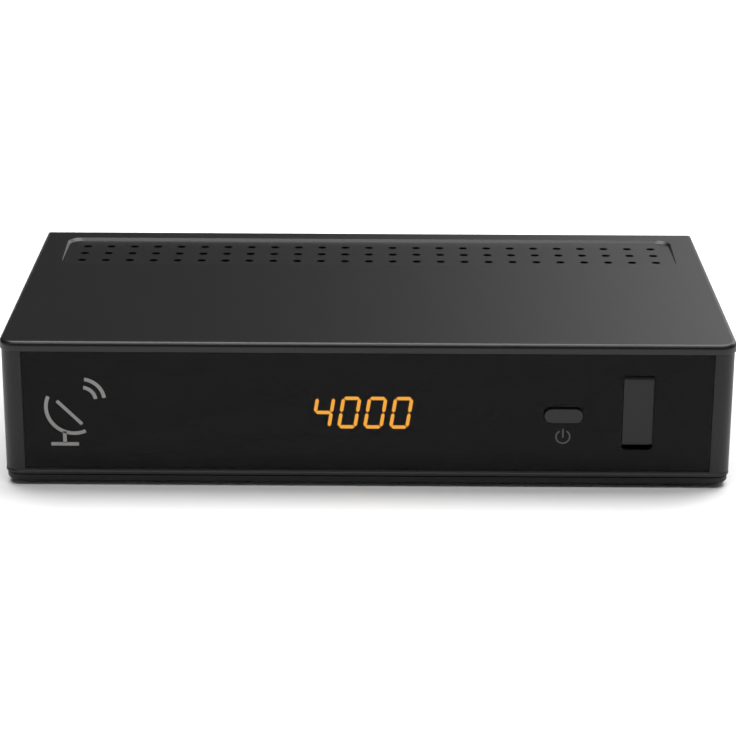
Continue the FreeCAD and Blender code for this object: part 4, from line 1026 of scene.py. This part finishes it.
def spun_arc(
    name: str, centre: tuple, radius: float, stroke: float, start: float, end: float,
    face: float, film: float,
) -> bpy.types.Object:
    """A printed arc: a small flat section spun round a point in the panel's plane.

    Args:
        name: The new object's name.
        centre: The arc's middle as (x, z) in millimetres.
        radius: The radius of the stroke's middle line.
        stroke: The stroke's width.
        start: The angle it starts at, in degrees from the right.
        end: The angle it ends at.
        face: The panel's Y in millimetres.
        film: How thick the print is.

    Returns:
        The arc as a thin mesh.
    """
    let_go()
    x, z = centre
    bpy.ops.mesh.primitive_plane_add(size=1.0, location=(0, 0, 0))
    piece = bpy.context.active_object
    piece.name = name
    piece.scale = (stroke * MM, film * MM, 1.0)
    settle(piece)
    turn = math.radians(start)
    place = Matrix.Translation(((x + radius * math.cos(turn)) * MM, (face - film / 2) * MM,
                                (z + radius * math.sin(turn)) * MM))
    piece.data.transform(place @ Matrix.Rotation(-turn, 4, "Y"))
    pick(piece)
    bpy.ops.object.mode_set(mode="EDIT")
    bpy.ops.mesh.select_all(action="SELECT")
    bpy.ops.mesh.spin(
        steps=max(int((end - start) / 7.5), 6),
        angle=math.radians(end - start),
        center=(x * MM, face * MM, z * MM),
        axis=(0.0, 1.0, 0.0),
    )
    bpy.ops.object.mode_set(mode="OBJECT")
    return piece


@dataclass
class DishSign:
    """A plain printed pictogram of a dish aerial with two waves, left of the display."""

    x: float = -88.0
    z: float = 25.2
    bowl: float = 8.2
    stroke: float = 1.1
    bowl_turn: tuple = (155, 295)
    wave_radii: tuple = (4.2, 6.8)
    wave_turn: tuple = (8, 82)
    focus: tuple = (2.6, 2.2)
    arm: tuple = ((-6.4, -2.1), (4.0, -1.1))
    arm_turn: float = -45.0
    mast: tuple = ((-3.4, -11.4), (-2.3, -7.6))
    foot: tuple = ((-7.0, -12.2), (1.3, -11.1))
    film: float = 0.02

    def bar(self, corners: tuple, turn: float = 0.0) -> bpy.types.Object:
        """A printed bar.

        Args:
            corners: Its two (x, z) corners, measured from the sign's middle in millimetres.
            turn: How far it is turned about its own middle, in degrees.

        Returns:
            The bar.
        """
        low, high = [(self.x + x, self.z + z) for x, z in corners]
        piece = block(
            "bar",
            (low[0], PLACE.panel - self.film, low[1]),
            (high[0], PLACE.panel, high[1]),
        )
        centre = ((low[0] + high[0]) / 2 * MM, PLACE.panel * MM, (low[1] + high[1]) / 2 * MM)
        pick(piece)
        bpy.ops.object.mode_set(mode="EDIT")
        bpy.ops.mesh.select_all(action="SELECT")
        bpy.ops.transform.rotate(
            value=math.radians(turn), orient_axis="Y", orient_type="GLOBAL",
            center_override=centre,
        )
        bpy.ops.object.mode_set(mode="OBJECT")
        return piece

    def build(self) -> bpy.types.Object:
        """Models and dresses the pictogram as a thin print on the window.

        Returns:
            The finished pictogram.
        """
        face = PLACE.panel
        x, z = self.x, self.z
        parts = [
            spun_arc("bowl", (x, z), self.bowl, self.stroke, *self.bowl_turn, face, self.film),
            self.bar(self.arm, self.arm_turn),
            self.bar(self.mast),
            self.bar(self.foot),
        ]
        focus = (x + self.focus[0], z + self.focus[1])
        for radius in self.wave_radii:
            parts.append(
                spun_arc("wave", focus, radius, self.stroke, *self.wave_turn, face, self.film)
            )
        sign = join("dish_sign", parts)
        tidy_mesh(sign)
        return enter(sign, Body.CASE, "mark_ink")


@dataclass
class PowerKey:
    """The stadium key of the power switch, with its flange and stem."""

    x: float = 58.6
    z: float = 23.625
    width: float = 11.6
    height: float = 4.4
    front: float = -64.25
    flange_front: float = -59.05
    flange_back: float = -57.85
    flange_grow: float = 3.2
    stem: float = 2.4
    stem_end: float = -52.95
    edge: float = 0.6

    def build(self) -> bpy.types.Object:
        """Models and dresses the key.

        Returns:
            The finished key.
        """
        cap = stadium_bar(
            "power_key", (self.x, self.z), self.width, self.height, self.front, self.flange_back
        )
        round_edges(cap, lies_at(Axis.Y, self.front), self.edge, 5)
        half_w = (self.width + self.flange_grow) / 2
        half_h = (self.height + self.flange_grow) / 2
        flange = block(
            "flange",
            (self.x - half_w, self.flange_front, self.z - half_h),
            (self.x + half_w, self.flange_back, self.z + half_h),
        )
        half = self.stem / 2
        stem = block(
            "stem",
            (self.x - half, self.flange_back - 0.2, self.z - half),
            (self.x + half, self.stem_end, self.z + half),
        )
        work(cap, flange, Cut.ADD)
        work(cap, stem, Cut.ADD)
        tidy_mesh(cap)
        return enter(cap, Body.BUTTON, "key_abs", ("power_button",))


@dataclass
class SocketCover:
    """The hinged cover of the front socket: a leaf with a rounded head and two pins."""

    x: float = 80.85
    half: float = 4.45
    low: float = 14.525
    axis_y: float = -61.85
    axis_z: float = 34.725
    thickness: float = 1.3
    pin_radius: float = 0.5
    pin_reach: float = 5.65
    edge: float = 0.18

    def build(self) -> bpy.types.Object:
        """Models and dresses the cover.

        Returns:
            The finished cover.
        """
        top = self.axis_z + self.thickness
        leaf = block(
            "socket_cover",
            (self.x - self.half, PLACE.panel, self.low),
            (self.x + self.half, self.axis_y, top),
        )

        def head(first: Vector, last: Vector) -> bool:
            """True for the upper front edge.

            Args:
                first: One end of the edge in millimetres.
                last: Its other end.

            Returns:
                Whether the edge is the head's.
            """
            return (
                runs_along(Axis.X)(first, last)
                and first.z > top - 0.01
                and first.y < PLACE.panel + 0.01
            )

        round_edges(leaf, head, self.thickness - 0.005, 8)

        def rim(first: Vector, last: Vector) -> bool:
            """True for the front face's outline.

            Args:
                first: One end of the edge in millimetres.
                last: Its other end.

            Returns:
                Whether the edge is on the outline.
            """
            return lies_at(Axis.Y, PLACE.panel)(first, last) and (
                abs(first.x - last.x) < 1e-3 or first.z < self.low + 0.01
            )

        round_edges(leaf, rim, self.edge, 3)
        pins = rod(
            "pins",
            (self.x - self.pin_reach, self.axis_y, self.axis_z),
            (self.x + self.pin_reach, self.axis_y, self.axis_z),
            self.pin_radius,
            24,
        )
        work(leaf, pins, Cut.ADD)
        tidy_mesh(leaf)
        return enter(leaf, Body.COVER, "flap_abs", ("usb_flap",))


@dataclass
class Digits:
    """The display's light bars, lit as one number and dark elsewhere."""

    x: float = -1.6
    z: float = 23.225
    face: float = -60.95
    back: float = -60.85
    pitch: float = 7.8
    count: int = 4
    height: float = 10.16
    width: float = 5.9
    slant: float = 9.0
    stroke: float = 1.05
    gap: float = 0.12

    def bar(self, name: str, length: float, upright: bool) -> bpy.types.Object:
        """One bar with pointed ends at the origin, flat or upright.

        Args:
            name: The bar's name.
            length: Its length in millimetres.
            upright: Whether it stands instead of lying.

        Returns:
            The bar.
        """
        half = self.stroke / 2
        reach = length / 2
        low = (-half, self.face, -reach) if upright else (-reach, self.face, -half)
        high = (half, self.back, reach) if upright else (reach, self.back, half)
        piece = block(name, low, high)
        round_edges(piece, runs_along(Axis.Y), half - 0.02, 1)
        return piece

    def lit(self, digit: int) -> set:
        """The lit bars of one place: the first shows a four and the others a nought.

        Args:
            digit: The place, counted from the left.

        Returns:
            The names of its lit bars.
        """
        if digit == 0:
            return {"upper_left", "upper_right", "middle", "lower_right"}
        return {"top", "bottom", "upper_left", "upper_right", "lower_left", "lower_right"}

    def build(self) -> list:
        """Models and dresses the lit and the dark bars.

        Returns:
            The lit bars and the dark bars.
        """
        across = (self.width - self.stroke) / 2
        up = (self.height - self.stroke) / 2
        lean = math.tan(math.radians(self.slant))
        flat = self.bar("flat_bar", 2 * across - 2 * self.gap, False)
        tall = self.bar("tall_bar", up - 2 * self.gap, True)
        pick(tall)
        bpy.ops.object.mode_set(mode="EDIT")
        bpy.ops.mesh.select_all(action="SELECT")
        bpy.ops.transform.rotate(
            value=-math.radians(self.slant), orient_axis="Y", orient_type="GLOBAL",
            center_override=(0.0, self.face * MM, 0.0),
        )
        bpy.ops.object.mode_set(mode="OBJECT")
        places = {
            "top": (flat, 0.0, up),
            "middle": (flat, 0.0, 0.0),
            "bottom": (flat, 0.0, -up),
            "upper_left": (tall, -across, up / 2),
            "upper_right": (tall, across, up / 2),
            "lower_left": (tall, -across, -up / 2),
            "lower_right": (tall, across, -up / 2),
        }
        shining = []
        dark = []
        for digit in range(self.count):
            centre = self.x + (digit - (self.count - 1) / 2) * self.pitch
            for key, (form, x, z) in places.items():
                copy = copy_at(form, (centre + x + z * lean, 0.0, self.z + z))
                (shining if key in self.lit(digit) else dark).append(copy)
        for form in (flat, tall):
            bpy.data.objects.remove(form, do_unlink=True)
        lit = join("lit_bars", shining)
        unlit = join("unlit_bars", dark)
        tidy_mesh(lit)
        tidy_mesh(unlit)
        enter(lit, Body.CASE, "lit_epoxy", ("digit_segments",))
        enter(unlit, Body.CASE, "amber_epoxy")
        return [lit, unlit]


@dataclass
class ThreadedSocket:
    """An aerial socket: a threaded barrel with a mouth, a white insulator and the hole for a
    contact.
    """

    z: float = 16.8
    root: float = 49.55
    mouth: float = 64.25
    radius: float = 4.76
    bore: float = 3.4
    bore_depth: float = 1.2
    contact: float = 0.6
    contact_depth: float = 8.0
    chamfer: float = 0.4
    thread_pitch: float = 0.794
    thread_depth: float = 0.33
    thread_start: float = 54.75
    thread_turns: int = 11
    insulator_depth: float = 0.5
    sides: int = 48

    def thread_tool(self, x: float) -> bpy.types.Object:
        """The thread's valleys as one tool: a diamond-section ring copied along the barrel.

        Args:
            x: The socket's middle in millimetres.

        Returns:
            The tool mesh.
        """
        let_go()
        bpy.ops.mesh.primitive_torus_add(
            major_radius=self.radius * MM,
            minor_radius=self.thread_depth * MM,
            major_segments=self.sides,
            minor_segments=4,
            location=(x * MM, self.thread_start * MM, self.z * MM),
            rotation=(math.radians(90), 0.0, 0.0),
        )
        first = bpy.context.active_object
        settle(first)
        rings = [first]
        for turn in range(1, self.thread_turns):
            rings.append(copy_at(first, (0.0, turn * self.thread_pitch, 0.0)))
        return join("thread", rings)

    def build(self, name: str, node: str, x: float) -> None:
        """Models and dresses one socket and its insulator.

        Args:
            name: The pieces' first name.
            node: The construction node that the barrel stands for.
            x: The socket's middle in millimetres.
        """
        barrel = rod(name, (x, self.root, self.z), (x, self.mouth, self.z), self.radius, self.sides)
        round_edges(barrel, lies_at(Axis.Y, self.mouth), self.chamfer, 1)
        floor = self.mouth - self.bore_depth
        mouth = rod("mouth", (x, floor, self.z), (x, self.mouth + 1, self.z), self.bore, 36)
        hole = rod(
            "hole", (x, floor - self.contact_depth, self.z), (x, floor + 1, self.z),
            self.contact, 16,
        )
        for tool in (self.thread_tool(x), mouth, hole):
            work(barrel, tool, Cut.TAKE_AWAY)
        tidy_mesh(barrel, 30.0)
        enter(barrel, Body.CASE, "nickel_brass", (node,))
        white = rod(
            f"{name}_insulator", (x, floor, self.z), (x, floor + self.insulator_depth, self.z),
            self.bore - 0.15, 36,
        )
        round_edges(white, lies_at(Axis.Y, floor + self.insulator_depth), 0.15, 2)
        entry = rod("entry", (x, floor - 1, self.z), (x, floor + 2, self.z), self.contact, 16)
        work(white, entry, Cut.TAKE_AWAY)
        tidy_mesh(white)
        enter(white, Body.CASE, "white_nylon")


class Carried:
    """The construction nodes that are shown as they are, each with its finish."""

    def build(self) -> None:
        """Dresses every node that nothing stands for."""
        replaced = {
            "top_cover", "front_window", "power_button", "usb_flap", "digit_segments",
            "lnb_in_socket", "lnb_out_socket",
        }
        slots = self.slots()
        for name, node in frame["nodes"].items():
            if name in replaced:
                continue
            PALETTE.dress(node, slots[name])
            LOG.info("dressed %s", name)

    def slots(self) -> dict:
        """The slot of each node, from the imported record."""
        parts = frame["record"]["subparts"]
        return {part["node"]: part["material_slot"] for part in parts}


@dataclass(frozen=True)
class Lamp:
    """A soft rectangular light, with its place, aim and size in metres and power in watts."""

    name: str
    place: tuple
    aim: tuple
    size: tuple
    power: float

    def hang(self) -> None:
        """Adds the light to the scene, turned to its aim."""
        let_go()
        bpy.ops.object.light_add(type="AREA", location=self.place)
        lamp = bpy.context.active_object
        lamp.name = self.name
        along = Vector(self.aim) - Vector(self.place)
        lamp.rotation_euler = along.to_track_quat("-Z", "Y").to_euler()
        lamp.data.shape = "RECTANGLE"
        lamp.data.size, lamp.data.size_y = self.size
        lamp.data.energy = self.power


@dataclass
class Studio:
    """The pale floor, the soft lights, the sky and the camera, in metres and degrees."""

    LAMPS = (
        Lamp("rear_box", (0.15, 0.5, 1.6), (0.15, 0.5, 0.0), (2.0, 1.0), 46.0),
        Lamp("front_strip", (0.0, -0.62, 1.6), (0.0, -0.05, 0.0), (1.8, 0.2), 12.0),
        Lamp("left_strip", (-0.95, -0.65, 0.45), (-0.1, -0.06, 0.03), (0.06, 0.6), 0.7),
        Lamp("right_strip", (0.95, -0.65, 0.45), (0.1, -0.06, 0.03), (0.06, 0.6), 0.1),
    )
    floor_radius: float = 3.2
    dish_radius: float = 4.6
    dish_height: float = 0.9
    dish_steps: int = 8
    sky_across: tuple = (-0.05, 0.5, 0.0, 3.0)
    sky_along: tuple = (0.3, 0.85, 0.04, 1.0)
    eye: tuple = (0.00169, -0.73616, 0.27489)
    yaw: float = -0.139
    pitch: float = 19.374
    roll: float = 0.270
    lens: float = 117.46
    sensor: float = 36.0

    def floor(self) -> None:
        """A wide pale disc whose rim rises gently."""
        let_go()
        bpy.ops.mesh.primitive_circle_add(
            vertices=96, radius=self.floor_radius, fill_type="NOTHING", location=(0, 0, 0)
        )
        disc = bpy.context.active_object
        disc.name = "floor"
        bpy.ops.object.mode_set(mode="EDIT")
        bpy.ops.mesh.select_mode(type="EDGE")
        bpy.ops.mesh.select_all(action="SELECT")
        radius = self.floor_radius
        steps = self.dish_steps
        for step in range(1, steps + 1):
            wider = self.floor_radius + (self.dish_radius - self.floor_radius) * step / steps
            rise = self.dish_height * (step ** 2 - (step - 1) ** 2) / steps ** 2
            bpy.ops.mesh.extrude_edges_move()
            bpy.ops.transform.resize(
                value=(wider / radius, wider / radius, 1.0), center_override=(0, 0, 0)
            )
            bpy.ops.transform.translate(value=(0, 0, rise))
            radius = wider
        bpy.ops.object.mode_set(mode="OBJECT")
        inner = self.floor_radius / MM

        def starts_it(first: Vector, last: Vector) -> bool:
            """True for the flat inner ring."""
            return max(first.length, last.length) < inner + 1.0

        mark_edges(disc, starts_it)
        bpy.ops.mesh.edge_face_add()
        bpy.ops.mesh.select_all(action="SELECT")
        bpy.ops.mesh.normals_make_consistent(inside=False)
        bpy.ops.object.mode_set(mode="OBJECT")
        bpy.ops.object.shade_smooth()
        material = Finish("studio_paper", "#f4f4f4", 0.9, grain_mm=4.0, mottle=0.0).build()
        disc.data.materials.append(material)

    def sky(self) -> None:
        """A dim world, brighter to the right and the rear."""
        world = bpy.data.worlds.new("room")
        bpy.context.scene.world = world
        world.use_nodes = True
        tree = world.node_tree
        tree.nodes.clear()
        place = add_node(tree, "ShaderNodeTexCoord")
        parts = add_node(
            tree, "ShaderNodeSeparateXYZ", {"Vector": place.outputs["Generated"]}
        )
        level, rear = [
            add_node(
                tree,
                "ShaderNodeMapRange",
                {
                    "Value": parts.outputs[axis],
                    "From Min": start,
                    "From Max": end,
                    "To Min": low,
                    "To Max": high,
                },
                interpolation_type="SMOOTHSTEP",
            )
            for axis, (start, end, low, high) in (("X", self.sky_across), ("Y", self.sky_along))
        ]
        strength = add_node(
            tree,
            "ShaderNodeMath",
            {0: level.outputs["Result"], 1: rear.outputs["Result"]},
            operation="MULTIPLY",
        )
        shade = add_node(
            tree,
            "ShaderNodeBackground",
            {"Color": (1.0, 1.0, 1.0, 1.0), "Strength": strength.outputs["Value"]},
        )
        add_node(tree, "ShaderNodeOutputWorld", {"Surface": shade.outputs["Background"]})

    def camera(self) -> None:
        """The camera that takes the picture, at the place worked out from it."""
        yaw = math.radians(self.yaw)
        pitch = math.radians(self.pitch)
        roll = math.radians(self.roll)
        forward = Vector(
            (math.sin(yaw) * math.cos(pitch), math.cos(yaw) * math.cos(pitch), -math.sin(pitch))
        )
        right = Vector((math.cos(yaw), -math.sin(yaw), 0.0))
        upward = right.cross(forward)
        turned_right = right * math.cos(roll) + upward * math.sin(roll)
        turned_up = upward * math.cos(roll) - right * math.sin(roll)
        let_go()
        bpy.ops.object.camera_add()
        camera = bpy.context.active_object
        camera.name = "camera"
        turn = Matrix((turned_right, turned_up, -forward)).transposed().to_4x4()
        camera.matrix_world = Matrix.Translation(self.eye) @ turn
        camera.data.lens = self.lens
        camera.data.sensor_width = self.sensor
        camera.data.clip_start = 0.05
        bpy.context.scene.camera = camera

    def build(self) -> None:
        """Sets up the whole studio."""
        self.floor()
        for lamp in self.LAMPS:
            lamp.hang()
        self.sky()
        self.camera()
        bpy.context.scene.view_settings.view_transform = "Standard"


def main() -> None:
    """Builds the receiver and its studio."""
    logging.basicConfig(level=logging.INFO, format="%(message)s")
    Lid().build()
    Window().build()
    PowerMark().build()
    DishSign().build()
    PowerKey().build()
    SocketCover().build()
    Digits().build()
    socket = ThreadedSocket()
    socket.build("aerial_in", "lnb_in_socket", 80.0)
    socket.build("aerial_out", "lnb_out_socket", 62.0)
    Carried().build()
    Studio().build()


if __name__ == "__main__":
    main()
